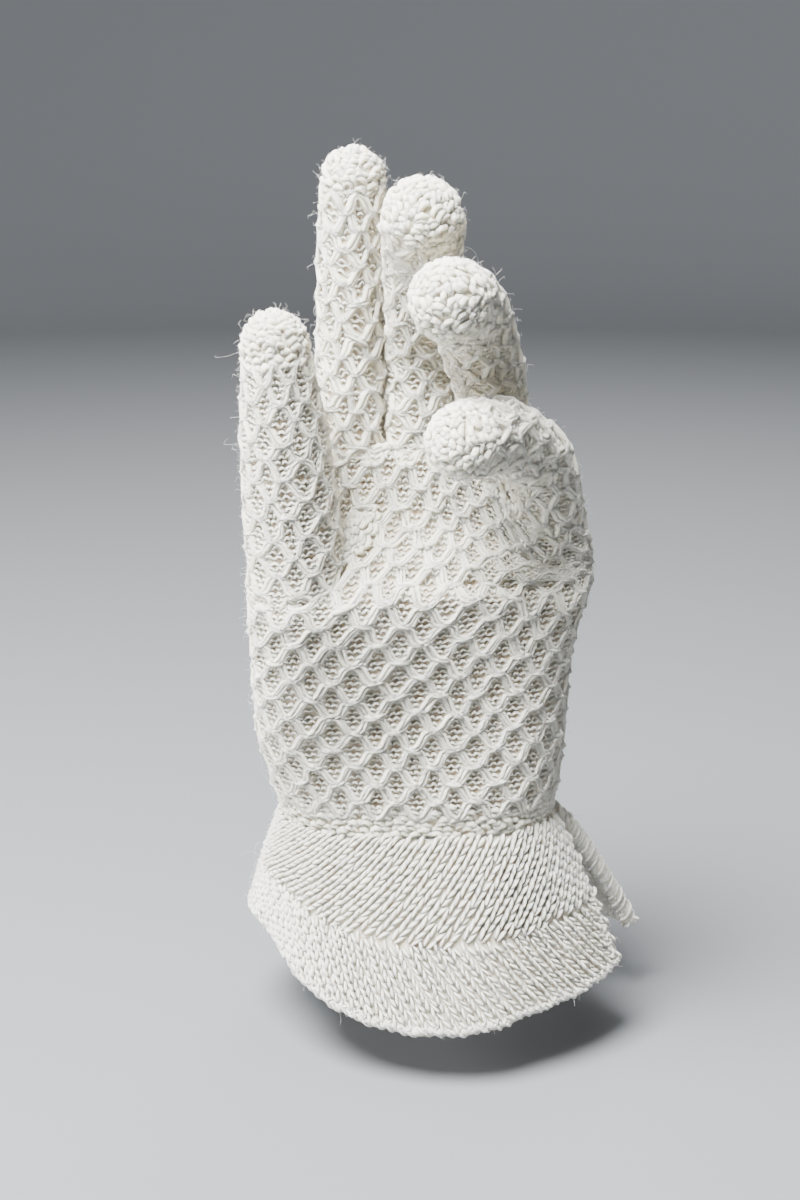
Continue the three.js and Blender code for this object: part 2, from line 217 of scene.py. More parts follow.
def even_rows(grid, step):
    """The same surface with rows evenly spaced along its mean length, and that length."""
    gaps = np.linalg.norm(np.diff(grid, axis=0), axis=2).mean(axis=1)
    lengths = np.concatenate([[0], np.cumsum(gaps)])
    rows = max(2, int(round(lengths[-1] / step)) + 1)
    places = np.linspace(0, lengths[-1], rows)
    low = np.clip(np.searchsorted(lengths, places, side="right") - 1, 0, len(lengths) - 2)
    share = ((places - lengths[low]) / (lengths[low + 1] - lengths[low]))[:, None, None]
    return grid[low] * (1 - share) + grid[low + 1] * share, lengths[-1]


def make_patch(grid, length, closed, cells_round, cell):
    """A base surface with its outward normals, its length and its count of knit cells."""
    along = np.gradient(grid, axis=0)
    if closed:
        around = (np.roll(grid, -1, axis=1) - np.roll(grid, 1, axis=1)) / 2
    else:
        around = np.gradient(grid, axis=1)
    normals = unit(np.cross(around, along))
    outward = np.sum(normals * (grid - grid.mean(axis=1, keepdims=True))) > 0
    return dict(grid=grid, normals=normals if outward else -normals, length=length, closed=closed,
                round=cells_round, along=round(2 * length / cell[1]) / 2, cell=cell)


# Waves of drift: turns round the patch, turns along it, phase and weight.
DRIFT = 0.42
SIDEWAYS_WAVES = ((4, 1.7, 0.6, 1.0), (7, -3.1, 2.1, 0.8))
UPWARDS_WAVES = ((5, 2.3, 1.1, 1.0), (9, -1.9, 4.0, 0.8))


def uneven(patch, x, y):
    """Shares moved by a slow drift of under a millimetre, as hand knitting is never quite even."""
    def drift(waves):
        return DRIFT * sum(weight * np.sin(2 * np.pi * (turns * x + rise * y) + phase)
                           for turns, rise, phase, weight in waves)

    girth = patch["round"] * patch["cell"][0]
    still_ends = np.sin(np.pi * np.clip(y, 0, 1))
    return x + drift(SIDEWAYS_WAVES) / girth, y + drift(UPWARDS_WAVES) * still_ends / patch["length"]


def on_patch(patch, x, y, height):
    """Points over a patch, at shares x round it and y along it, lifted by height in mm."""
    grid, normals = patch["grid"], patch["normals"]
    rows, columns = grid.shape[:2]
    x, y = np.broadcast_arrays(np.asarray(x, float), np.asarray(y, float))
    if patch["closed"]:
        x, y = uneven(patch, x, y)
        fx = (np.asarray(x) % 1.0) * columns
        i0 = np.floor(fx).astype(int) % columns
        i1 = (i0 + 1) % columns
        a = (fx - np.floor(fx))[..., None]
    else:
        fx = np.clip(x, 0, 1) * (columns - 1)
        i0 = np.minimum(np.floor(fx).astype(int), columns - 2)
        i1 = i0 + 1
        a = (fx - i0)[..., None]
    fy = np.clip(y, 0, 1) * (rows - 1)
    j0 = np.minimum(np.floor(fy).astype(int), rows - 2)
    b = (fy - j0)[..., None]

    def mixed(values):
        low = values[j0, i0] * (1 - a) + values[j0, i1] * a
        return low * (1 - b) + (values[j0 + 1, i0] * (1 - a) + values[j0 + 1, i1] * a) * b

    normal = unit(mixed(normals))
    return mixed(grid) + normal * np.asarray(height)[..., None], normal


# Palm folds, placed in shares round the hand and along it: the puckered web between thumb and
# palm, and the crease below the little finger with the soft lip that the bent palm pushes up.
PUCKER = dict(place=(0.369, 0.798), spread=(3.7, 5.4), rise=3.0, rings=4, ring_step=1.2)
CREASE_SOFTENING = 12
CREASE_ENDS = ((0.10, 0.644), (0.30, 0.691))
CREASE_FADE = 0.06
CREASE_DEPTH = 1.3
CREASE_WIDTH = 1.9
LIP_RISE = 0.8
LIP_BELOW = 3.6
LIP_WIDTH = 3.04


def palm_folds(rows, columns, length):
    """Height in mm of the folds over the hand's grid."""
    x, y = np.meshgrid(np.arange(columns) / columns, np.linspace(0, 1, rows))
    across, up = (x - PUCKER["place"][0]) * HAND_GIRTH, (y - PUCKER["place"][1]) * length
    height = PUCKER["rise"] * np.exp(-(across / PUCKER["spread"][0]) ** 2 - (up / PUCKER["spread"][1]) ** 2)
    (x0, y0), (x1, y1) = CREASE_ENDS
    off = (y - y0 - (x - x0) * (y1 - y0) / (x1 - x0)) * length
    held = smooth((x - x0 + CREASE_FADE) / CREASE_FADE) * smooth((x1 + CREASE_FADE - x) / CREASE_FADE)
    lip = LIP_RISE * np.exp(-((off + LIP_BELOW) / LIP_WIDTH) ** 2)
    return height + held * (lip - CREASE_DEPTH * np.exp(-(off / CREASE_WIDTH) ** 2))


def hand_patch():
    """The hand's surface: rings of the heel, the crease above it and the knuckles, then folded."""
    heel_top = HEEL_LEVELS[-1][0]
    rings = [heel_ring(z) for z in np.linspace(0, heel_top, HEEL_RINGS)]
    heel = rings[-1]
    knuckles = [knuckle_ring(share)[0] for share in KNUCKLE_SHARES]
    for share in CREASE_SHARES:
        fold = heel * (1 - share) + knuckles[0] * share
        fold[:, 2] += CREASE_RISE * (1 - share)
        rings.append(fold)
    grid, length = even_rows(np.array(rings + knuckles), GRID_STEP)
    for _ in range(CREASE_SOFTENING):
        grid[1:-1] = grid[1:-1] * 0.5 + (grid[2:] + grid[:-2]) * 0.25
    plain = make_patch(grid, length, True, HAND_CELLS_ROUND, HAND_CELL)
    grid = grid + plain["normals"] * palm_folds(*grid.shape[:2], length)[..., None]
    return make_patch(grid, length, True, HAND_CELLS_ROUND, HAND_CELL)


RIDGE_WIDTH = 0.17
HOLLOW_FLOOR = -1.2
RIDGE_RISE = 0.88
# How strongly a ridge clears the painted shade, so that hollows are darkened and ridges keep the yarn
# colour.
RIDGE_SHADING = 1.15
NODE_RISE = 0.15
NODE_SPREAD = (0.2, 0.13)
MOUND_RISE = 0.4


def flat_ended(wave):
    """A cosine's values pressed towards -1 and 1, so that the yarn lies level at the nodes."""
    return 1.5 * wave - 0.5 * wave ** 3


def honeycomb_relief(x, y):
    """Height in mm, and painted shade weight from 0 to 1, of the honeycomb at cell coordinates: the hollows
    get painted shade and the ridges keep the yarn colour.
    """
    swing = 0.25 * flat_ended(np.cos(2 * np.pi * x))
    steep = np.sqrt(1 + (0.75 * np.pi * np.sin(2 * np.pi * x) ** 3) ** 2)
    rising, falling = y - 0.25 - swing, y - 0.75 + swing
    near_rising = (rising - np.round(rising)) / steep / RIDGE_WIDTH
    near_falling = (falling - np.round(falling)) / steep / RIDGE_WIDTH
    ridge = 1 - (1 - np.exp(-near_rising ** 2)) * (1 - np.exp(-near_falling ** 2))
    p, q = x + y, x - y
    dp, dq = p - np.floor(p) - 0.5, q - np.floor(q) - 0.5
    dx, dy = (dp + dq) / 2, (dp - dq) / 2
    node = np.exp(-(dx / NODE_SPREAD[0]) ** 2 - (dy / NODE_SPREAD[1]) ** 2)
    below = -((p - np.round(p)) - (q - np.round(q))) / 2
    mound = MOUND_RISE * np.clip(0.5 + below, 0, 1)
    return (HOLLOW_FLOOR + mound + ridge * RIDGE_RISE + node * NODE_RISE,
            np.clip(1 - RIDGE_SHADING * ridge, 0, 1))


def tubes(points, normals, radius, sides):
    """Closed yarn tubes along points (tubes, steps, 3): their corners and faces."""
    count, steps = points.shape[:2]
    ahead = unit(np.gradient(points, axis=1))
    across = unit(np.cross(ahead, normals))
    lift = np.cross(across, ahead)
    radius = np.broadcast_to(radius, (count, steps))[..., None, None]
    angle = 2 * np.pi * np.arange(sides) / sides + np.pi / 2
    across, lift = across[:, :, None], lift[:, :, None]
    ring = (across * np.cos(angle)[:, None] + lift * np.sin(angle)[:, None]) * radius
    corners = (points[:, :, None] + ring).reshape(-1, 3)
    base = (np.arange(count) * steps * sides)[:, None, None]
    j = (np.arange(steps - 1) * sides)[None, :, None]
    i = np.arange(sides)[None, None]
    k = (i + 1) % sides
    low, high = base + j, base + j + sides
    quads = np.stack(np.broadcast_arrays(low + i, low + k, high + k, high + i), -1)
    start = base[:, 0] + np.arange(sides)[::-1]
    end = base[:, 0] + (steps - 1) * sides + np.arange(sides)
    return corners, [quads.reshape(-1, 4), start, end]


def add_mesh(name, corners, faces, shade=None):
    """Mesh from corners in mm and arrays of faces, with a painted shade weight at each corner, high where
    the corner lies deep in the knit.
    """
    mesh = bpy.data.meshes.new(name)
    flat = np.concatenate([f.reshape(-1) for f in faces]).astype(np.int32)
    sizes = np.concatenate([np.full(len(f), f.shape[1]) for f in faces]).astype(np.int32)
    mesh.vertices.add(len(corners))
    mesh.vertices.foreach_set("co", (corners * MM).astype(np.float32).reshape(-1))
    mesh.loops.add(len(flat))
    mesh.loops.foreach_set("vertex_index", flat)
    mesh.polygons.add(len(sizes))
    mesh.polygons.foreach_set("loop_start", np.concatenate([[0], np.cumsum(sizes)[:-1]]).astype(np.int32))
    mesh.update(calc_edges=True)
    mesh.validate()
    mesh.polygons.foreach_set("use_smooth", np.ones(len(mesh.polygons), bool))
    if shade is not None:
        # Painted shade weight of each corner, which the material reads to darken the colour.
        mask = mesh.attributes.new("painted_shade", "FLOAT", "POINT")
        mask.data.foreach_set("value", shade.astype(np.float32))
    obj = bpy.data.objects.new(name, mesh)
    bpy.context.collection.objects.link(obj)
    return obj


def add_yarns(name, bundles, shade=0.0):
    """One object from bundles of tubes."""
    corners, faces, total = [], [], 0
    for points, normals, radius, sides in bundles:
        part, part_faces = tubes(points, normals, radius, sides)
        corners.append(part)
        faces += [f + total for f in part_faces]
        total += len(part)
    corners = np.vstack(corners)
    return add_mesh(name, corners, faces, np.full(len(corners), shade))


def grid_faces(rows, columns, closed, offset=0, flip=False):
    j, i = np.meshgrid(np.arange(rows - 1), np.arange(columns if closed else columns - 1), indexing="ij")
    k = (i + 1) % columns
    quads = np.stack([j * columns + i, j * columns + k, (j + 1) * columns + k, (j + 1) * columns + i], -1)
    quads = quads.reshape(-1, 4) + offset
    return quads[:, ::-1] if flip else quads


def strip_faces(first, second):
    """Quads between two closed rows of equal count."""
    a, b = np.asarray(first), np.asarray(second)
    return np.stack([a, np.roll(a, -1), np.roll(b, -1), b], 1)


def mesh_girth(patch):
    ring = patch["grid"][patch["grid"].shape[0] // 3]
    return running_length(np.vstack([ring, ring[:1]]))[-1]


def level_skin(shape, lift):
    """Height and painted shade weight of a plain skin inside the glove."""
    return np.full(shape, lift), np.full(shape, INSIDE_PAINTED_SHADE)


def knit_ground(name, patch, wall, step, relief, lip):
    """Closed wall: knitted relief outside, a lip turned in at the top, a plain skin inside."""
    columns = int(round(mesh_girth(patch) / step))
    rows = int(round(patch["length"] / step)) + 1
    share = (np.arange(columns) / columns)[None, :]

    def skin(stops, lift):
        x, y = np.broadcast_arrays(share, np.asarray(stops)[:, None])
        height, painted_shade_weight = relief(x, y) if lift is None else level_skin(x.shape, lift)
        return on_patch(patch, x, y, height)[0], painted_shade_weight

    outer, outer_shade = skin(np.linspace(0, 1, rows), None)
    inner, inner_shade = skin(np.linspace(1, 0, rows // INSIDE_COARSENESS), -wall)
    picks = np.round(np.arange(columns) * lip.shape[1] / columns).astype(int) % lip.shape[1]
    points = np.vstack([outer, lip[:, picks], inner])
    # Painted shade: the relief's weight outside, and fixed weights on the turned-in lip and the inner skin.
    shade = np.vstack([outer_shade, np.full((len(lip), columns), LIP_AND_POLE_PAINTED_SHADE), inner_shade])
    total = len(points)
    last, first = (total - 1) * columns + np.arange(columns), np.arange(columns)
    faces = [grid_faces(total, columns, True), strip_faces(last, first)]
    return add_mesh(name, points.reshape(-1, 3), faces, shade.reshape(-1))


# The net's yarns. A lane is where a strand runs across the float, from its middle, and each
# uneven value is the spread of a random change, in mm or in shares of a size.
STRANDS = dict(lanes=(-0.58, 0.0, 0.58), radius=0.5, uneven_lane=0.17)
STRAND_STEPS = 6
STRAND_OVERLAP = 0.07
STRAND_GATHERING = 0.6
STRAND_SINK = 0.02
UNEVEN_STRAND = dict(path=0.1, lift=0.09, waver=0.05, radius=0.13)
CROWDED_SHARE = 0.42
GATHER_REACH = 1.9
GATHER_TILT = 0.42
GATHER_STEPS = 5
GATHER_LIFT = 0.02
GATHER_ARCH = 0.2
GATHER_RADIUS = 0.34
UNEVEN_GATHER = dict(size=0.12, tilt=0.22, lift=0.07)


def lattice(patch, nodes):
    """Cell coordinates of the net's nodes, or of the cells' middles."""
    columns, rows = np.arange(2 * patch["round"]), np.arange(-1, int(2 * patch["along"]) + 2)
    i, j = np.meshgrid(columns, rows, indexing="ij")
    chosen = (i + j) % 2 == (1 if nodes else 0)
    return i[chosen] / 2, j[chosen] / 2


def crowding(patch, x, y):
    """Share, down to under a half, that is left of the rows that the palm's bend crowds together."""
    step = 0.5 / patch["length"]
    below, _ = on_patch(patch, x, y - step, np.zeros(x.shape))
    above, _ = on_patch(patch, x, y + step, np.zeros(x.shape))
    return np.clip(np.linalg.norm(above - below, axis=-1), CROWDED_SHARE, 1)


def whole_yarns(x, y, keep, margin=0.001):
    """Which yarns lie on the patch from end to end, in the part of it to keep."""
    on_rows = (y.min(axis=1) > margin) & (y.max(axis=1) < 1 - margin)
    return on_rows & keep(x.mean(axis=1), y.mean(axis=1))


def net_strands(patch, keep, relief, seed, strands):
    """Floats that swing from node to node: level at the nodes and spread out between them."""
    x0, y0 = lattice(patch, True)
    rng = np.random.default_rng(seed)
    t = np.linspace(-STRAND_OVERLAP, 1 + STRAND_OVERLAP, STRAND_STEPS)
    bow = np.sin(np.pi * np.clip(t, 0, 1))
    width, height = patch["cell"]
    bundles = []
    for way in (1, -1):
        x_mm = 0.5 * width * t
        y_mm = way * 0.25 * height * (1 - flat_ended(np.cos(np.pi * t)))
        run = np.stack([np.gradient(x_mm), np.gradient(y_mm)], 1)
        run /= np.linalg.norm(run, axis=1, keepdims=True)
        for lane in strands["lanes"]:
            off = lane + rng.normal(0, strands["uneven_lane"], (len(x0), 1))
            off = off * (STRAND_GATHERING + (1 - STRAND_GATHERING) * bow)
            off = off + rng.normal(0, UNEVEN_STRAND["path"], (len(x0), STRAND_STEPS))
            x = (x0[:, None] + (x_mm - off * run[:, 1]) / width) / patch["round"]
            y = (y0[:, None] + (y_mm + off * run[:, 0]) / height) / patch["along"]
            lift = rng.normal(0, UNEVEN_STRAND["lift"], (len(x0), 1)) - STRAND_SINK
            lift = lift + rng.normal(0, UNEVEN_STRAND["waver"], (len(x0), STRAND_STEPS))
            good = whole_yarns(x, y, keep)
            x, y, lift = x[good], y[good], lift[good]
            points, normals = on_patch(patch, x, y, relief(x, y)[0] + lift)
            thick = strands["radius"] * (1 + rng.normal(0, UNEVEN_STRAND["radius"], x.shape))
            thick = thick * crowding(patch, x, y)
            bundles.append((points, normals, thick, 4))
    return bundles + gathers(patch, keep, relief, rng)


def gathers(patch, keep, relief, rng):
    """Two plump strands that cross level over each node, where the floats are caught up."""
    x0, y0 = lattice(patch, True)
    reach = np.linspace(-1, 1, GATHER_STEPS)[None, :]
    bulge = 1 - reach ** 2
    bundles = []
    for way in (1, -1):
        size = 1 + rng.normal(0, UNEVEN_GATHER["size"], (len(x0), 1))
        tilt = way * GATHER_TILT + rng.normal(0, UNEVEN_GATHER["tilt"], (len(x0), 1))
        x = (x0[:, None] + reach * GATHER_REACH * size / patch["cell"][0]) / patch["round"]
        y = (y0[:, None] + reach * tilt / patch["cell"][1]) / patch["along"]
        good = whole_yarns(x, y, keep)
        x, y, size = x[good], y[good], size[good]
        room = crowding(patch, x, y)
        lift = rng.normal(0, UNEVEN_GATHER["lift"], (len(x), 1))
        lift = (lift + GATHER_LIFT + GATHER_ARCH * bulge) * room
        points, normals = on_patch(patch, x, y, relief(x, y)[0] + lift)
        bundles.append((points, normals, GATHER_RADIUS * (1 + bulge) * size * room, 4))
    return bundles


PURL_ROW = 1.38
PURL_WAVE = 1.85
PURL_SWING = 0.42
PURL_RADIUS = 0.46
PURL_STEPS = 10
PURL_LEVEL = 0.3
PURL_ARCH = 0.16
UNEVEN_PURL = dict(phase=0.35, row=0.12)

# Shares of a cell's height and width that its purl rows fill and stay clear of.
CELL_OPEN = 0.34
CELL_TOP = 0.11
CELL_MARGIN = 0.04


def purl_rows(patch, keep, relief, ceiling, seed):
    """Rows of waving yarn inside each cell, staggered so that small holes open between them.
    They stay under the ceiling, in mm, so that the net stands over them."""
    x0, y0 = lattice(patch, False)
    rng = np.random.default_rng(seed)
    width, height = patch["cell"]
    bundles = []
    rows = int(CELL_OPEN * height / PURL_ROW)
    for row in range(-rows, rows + 1):
        level = row * PURL_ROW
        turn = 2 * math.sin(math.asin(4 * max(abs(level) / height, CELL_TOP) - 1) / 3)
        reach = (math.acos(turn) / (2 * math.pi) - CELL_MARGIN) * width
        x_mm = np.linspace(-reach, reach, PURL_STEPS)[None, :]
        phase = math.pi * (row % 2) + rng.normal(0, UNEVEN_PURL["phase"], (len(x0), 1))
        wave = 2 * np.pi * x_mm / PURL_WAVE + phase
        y_mm = level + rng.normal(0, UNEVEN_PURL["row"], (len(x0), 1)) + PURL_SWING * np.sin(wave)
        x = (x0[:, None] + x_mm / width) / patch["round"]
        y = (y0[:, None] + y_mm / height) / patch["along"]
        good = whole_yarns(x, y, keep, 0.002)
        x, y, wave = x[good], y[good], wave[good]
        lift = PURL_LEVEL + PURL_ARCH * np.sin(wave)
        points, normals = on_patch(patch, x, y, np.minimum(relief(x, y)[0], ceiling) + lift)
        bundles.append((points, normals, PURL_RADIUS, 3))
    return bundles


hand = hand_patch()
EDGE_ROWS = 3
EDGE_BAND = EDGE_ROWS * PURL_ROW + 0.4
EDGE_LEVEL = -0.95
EDGE_FADE = 2.5
WEB_BAND = 2.4
HAND_WEB_HEIGHT = -1.5
WEB_OVERLAP = 2.2
RIM_ROWS = np.array([1.8, 0.5])
PUCKER_LEVEL = -0.7
PUCKER_EDGE = 1.15
PUCKER_FADE = 0.3

# Height and painted shade weight of the ground where the hand is plain.
EDGE_GROUND = (-0.9, 0.35)
PUCKER_GROUND = (PUCKER_LEVEL, 0.15)
RIM_GROUND = (HAND_WEB_HEIGHT, 0.2)
THUMB = dict(name="thumb", root=(-24.4, -16, 34), splay=-4.3, yaw=0, bends=(3, 2, 3),
             phalanges=(26, 32, 26), web=24, radii=(10.8, 11.2, 10.9, 9.3, 7.0), flat=(False, False))
THUMB_COVER = np.arange(20, 44, 1.0)
THUMB_MARGIN = 0.4


def blend(old, new, share):
    """Height and painted shade weight moved by a share towards other values of both."""
    return [was * (1 - share) + now * share for was, now in zip(old, new)]


def hand_relief(x, y):
    """The honeycomb, with the wrist's edge rows, the puckered web and the top rim left plain."""
    relief = honeycomb_relief(x * hand["round"], y * hand["along"])
    edge = 1 - smooth((y * hand["length"] - EDGE_BAND + 1.5) / EDGE_FADE)
    web = smooth(((y - 1) * hand["length"] + WEB_BAND) / WEB_BAND)
    relief = blend(relief, EDGE_GROUND, edge)
    relief = blend(relief, PUCKER_GROUND, on_pucker(x, y))
    return blend(relief, RIM_GROUND, web)


def on_pucker(x, y):
    """Share, from 0 to 1, of the plain puckered web at places on the hand."""
    across = (x - PUCKER["place"][0]) * HAND_GIRTH / PUCKER["spread"][0]
    up = (y - PUCKER["place"][1]) * hand["length"] / PUCKER["spread"][1]
    return smooth((PUCKER_EDGE - np.hypot(across, up)) / PUCKER_FADE)


def on_open_hand(x, y):
    """True above the wrist's edge rows, where the thumb's tube doesn't cover the hand."""
    points, _ = on_patch(hand, x, y, np.zeros(np.shape(x)))
    centre, _, _ = digit_frame(THUMB, THUMB_COVER)
    off = np.linalg.norm(points[:, None] - centre[None], axis=2) - digit_radius(THUMB, THUMB_COVER)
    level = y * hand["length"]
    on_rows = (level > EDGE_BAND) & (level < hand["length"] - WEB_OVERLAP)
    return on_rows & (off.min(axis=1) > -THUMB_MARGIN) & (on_pucker(x, y) < 0.5)


LOOP_WIDTH = 2.2
LOOP_STEPS = 5
LOOP_HEIGHT = 1.2
LOOP_ARCH = 0.4
LOOP_RADIUS = 0.46
LOOP_SWELL = 0.32
UNEVEN_LOOP = dict(place=0.24, tilt=0.7, rise=0.3, size=0.14, lift=0.12)
RING_SAMPLES = 64


def purl_bumps(patch, places, level, seed):
    """Rows of plump, uneven purl loops at distances along a patch, fewer where it closes."""
    length = patch["length"]
    rng = np.random.default_rng(seed)
    t = np.linspace(0, 1, LOOP_STEPS)
    xs, ys = [], []
    for row, place in enumerate(places):
        around = np.arange(RING_SAMPLES) / RING_SAMPLES
        ring, _ = on_patch(patch, around, np.full(RING_SAMPLES, place / length), np.zeros(RING_SAMPLES))
        count = max(3, int(round(running_length(np.vstack([ring, ring[:1]]))[-1] / LOOP_WIDTH)))
        centre = np.arange(count) + 0.5 * (row % 2) + rng.normal(0, UNEVEN_LOOP["place"], count)
        tilt = rng.normal(0, UNEVEN_LOOP["tilt"], (count, 1)) * (t - 0.5)
        xs.append((centre[:, None] - np.cos(np.pi * t) * 0.5) / count)
        rise = tilt + rng.normal(0, UNEVEN_LOOP["rise"], (count, 1))
        ys.append((place + (np.sin(np.pi * t) - 0.5) * LOOP_HEIGHT + rise) / length)
    x, y = np.vstack(xs), np.vstack(ys)
    size = 1 + rng.normal(0, UNEVEN_LOOP["size"], (len(x), 1))
    lift = level + LOOP_ARCH * np.sin(np.pi * t) + rng.normal(0, UNEVEN_LOOP["lift"], (len(x), 1))
    points, normals = on_patch(patch, x, y, lift)
    return [(points, normals, (LOOP_RADIUS + LOOP_SWELL * np.sin(np.pi * t)) * size, 5)]


PUCKER_CORE = 0.9
PUCKER_LOOP = 1.1
PUCKER_STRETCH = (0.8, 1.2)
PUCKER_LOOP_RISE = 0.15
UNEVEN_PUCKER = dict(turn=0.15, reach=0.2)


def pucker_loops(seed):
    """Plain loops in rings over the puckered web between thumb and palm."""
    rng = np.random.default_rng(seed)
    t = np.linspace(0, 1, LOOP_STEPS)
    xs, ys = [], []
    for ring in range(PUCKER["rings"]):
        reach = PUCKER_CORE + PUCKER["ring_step"] * ring
        count = max(3, int(round(2 * math.pi * reach / LOOP_WIDTH)))
        turn = np.arange(count)[:, None] + t + rng.normal(0, UNEVEN_PUCKER["turn"], (count, 1))
        angle = 2 * np.pi * turn / count
        away = reach + (np.sin(np.pi * t) - 0.5) * PUCKER_LOOP
        away = away + rng.normal(0, UNEVEN_PUCKER["reach"], (count, 1))
        xs.append(PUCKER["place"][0] + PUCKER_STRETCH[0] * away * np.cos(angle) / HAND_GIRTH)
        ys.append(PUCKER["place"][1] + PUCKER_STRETCH[1] * away * np.sin(angle) / hand["length"])
    x, y = np.vstack(xs), np.vstack(ys)
    lift = PUCKER_LEVEL + PUCKER_LOOP_RISE + LOOP_ARCH * np.sin(np.pi * t)
    lift = lift + rng.normal(0, UNEVEN_LOOP["lift"], (len(x), 1))
    points, normals = on_patch(hand, x, y, lift)
    thick = LOOP_RADIUS + LOOP_SWELL * np.sin(np.pi * t)
    return [(points, normals, np.broadcast_to(thick, x.shape), 5)]


HAND_CEILING = -0.7
LIP_DEPTH = 0.36
CLOSED_DEPTH = 0.97
WEB_REACH = (4.0, 6.5)


def web_lips():
    """Rows that turn the hand's top edge in: a narrow lip round each finger, and across the
    webs between two fingers nearly the whole way to the spine, so that the hand is closed."""
    rim, spine = knuckle_ring(1.0)
    centres = np.array([digit_frame(finger, finger["web"])[0] for finger in FINGERS])
    off = np.linalg.norm(spine[:, None] - centres[None], axis=2).min(axis=1)
    inside = (spine[:, 0] > centres[0, 0]) & (spine[:, 0] < centres[-1, 0])
    deep = smooth((off - WEB_REACH[0]) / (WEB_REACH[1] - WEB_REACH[0])) * inside
    depth = (LIP_DEPTH + (CLOSED_DEPTH - LIP_DEPTH) * deep)[:, None]
    return np.array([rim * (1 - share * depth) + spine * share * depth for share in (0.5, 1.0)])


hand_ground = knit_ground("hand_knit", hand, HAND_WALL, HAND_MESH_STEP, hand_relief, web_lips())
hand_net = add_yarns("hand_floats", net_strands(hand, on_open_hand, hand_relief, 11, STRANDS))
wrist_rows = purl_bumps(hand, np.arange(0.1, EDGE_BAND + 1.2, PURL_ROW), EDGE_LEVEL, 12)
web_rows = purl_bumps(hand, hand["length"] - RIM_ROWS, HAND_WEB_HEIGHT, 14)
cell_rows = purl_rows(hand, on_open_hand, hand_relief, HAND_CEILING, 13)
hand_purl = add_yarns("hand_purl", cell_rows + wrist_rows + web_rows + pucker_loops(15))


def angora_fibre_group():
    """Colour drift, painted shade mixed in by a weight, and fibre bump, shared by every angora yarn of the
    glove.
    """
    group = bpy.data.node_groups.new("angora_fibre", "ShaderNodeTree")
    group.interface.new_socket("Yarn", in_out="INPUT", socket_type="NodeSocketColor")
    group.interface.new_socket("Painted Shade", in_out="INPUT", socket_type="NodeSocketColor")
    group.interface.new_socket("Depth", in_out="INPUT", socket_type="NodeSocketFloat")
    group.interface.new_socket("Fibre Scale", in_out="INPUT", socket_type="NodeSocketFloat")
    group.interface.new_socket("Color", in_out="OUTPUT", socket_type="NodeSocketColor")
    group.interface.new_socket("Normal", in_out="OUTPUT", socket_type="NodeSocketVector")
    nodes, links = group.nodes, group.links
    inputs, outputs = nodes.new("NodeGroupInput"), nodes.new("NodeGroupOutput")
    place = nodes.new("ShaderNodeTexCoord")
    drift = nodes.new("ShaderNodeTexNoise")
    drift.inputs["Scale"].default_value = 90
    drift.inputs["Detail"].default_value = 3
    links.new(place.outputs["Object"], drift.inputs["Vector"])
    fibre = nodes.new("ShaderNodeTexNoise")
    fibre.inputs["Detail"].default_value = 4
    fibre.inputs["Roughness"].default_value = 0.7
    fibre.inputs["Distortion"].default_value = 1.5
    links.new(place.outputs["Object"], fibre.inputs["Vector"])
    links.new(inputs.outputs["Fibre Scale"], fibre.inputs["Scale"])
    tone = nodes.new("ShaderNodeMapRange")
    tone.inputs["From Min"].default_value = 0.3
    tone.inputs["From Max"].default_value = 0.7
    tone.inputs["To Min"].default_value = 0.93
    tone.inputs["To Max"].default_value = 1.04
    links.new(drift.outputs["Fac"], tone.inputs["Value"])
    # Painted shade: the yarn colour mixed towards the darker shade colour by the corner's weight.
    mix = nodes.new("ShaderNodeMix")
    mix.data_type = "RGBA"
    links.new(inputs.outputs["Depth"], mix.inputs["Factor"])
    links.new(inputs.outputs["Yarn"], mix.inputs["A"])
    links.new(inputs.outputs["Painted Shade"], mix.inputs["B"])
    shade = nodes.new("ShaderNodeVectorMath")
    shade.operation = "SCALE"
    links.new(mix.outputs["Result"], shade.inputs[0])
    links.new(tone.outputs["Result"], shade.inputs["Scale"])
    links.new(shade.outputs["Vector"], outputs.inputs["Color"])
    bump = nodes.new("ShaderNodeBump")
    bump.inputs["Strength"].default_value = 1.0
    bump.inputs["Distance"].default_value = 0.0008
    links.new(fibre.outputs["Fac"], bump.inputs["Height"])
    links.new(bump.outputs["Normal"], outputs.inputs["Normal"])
    return group


ANGORA_FIBRE = angora_fibre_group()


def angora_material(name, yarn, painted_shade, fibre_scale):
    """Matt woolly yarn with a soft sheen that lets a little light through, its colour darkened towards a
    painted shade colour by each corner's painted shade weight.
    """
    material = bpy.data.materials.new(name)
    material.use_nodes = True
    nodes, links = material.node_tree.nodes, material.node_tree.links
    wool = nodes["Principled BSDF"]
    wool.inputs["Roughness"].default_value = 0.95
    wool.inputs["Specular IOR Level"].default_value = 0.12
    wool.inputs["Sheen Weight"].default_value = 0.6
    wool.inputs["Sheen Roughness"].default_value = 0.4
    wool.inputs["Sheen Tint"].default_value = (1.0, 0.95, 0.86, 1)
    wool.inputs["Subsurface Weight"].default_value = 0.65
    wool.inputs["Subsurface Radius"].default_value = (1.0, 0.85, 0.7)
    wool.inputs["Subsurface Scale"].default_value = 0.0018
    group = nodes.new("ShaderNodeGroup")
    group.node_tree = ANGORA_FIBRE
    group.inputs["Yarn"].default_value = (*yarn, 1)
    group.inputs["Painted Shade"].default_value = (*painted_shade, 1)
    group.inputs["Fibre Scale"].default_value = fibre_scale
    # The mesh's painted shade weight, from 0 on the yarns to 1 deep in the hollows.
    mask = nodes.new("ShaderNodeAttribute")
    mask.attribute_name = "painted_shade"
    links.new(mask.outputs["Fac"], group.inputs["Depth"])
    links.new(group.outputs["Color"], wool.inputs["Base Color"])
    links.new(group.outputs["Normal"], wool.inputs["Normal"])
    return material


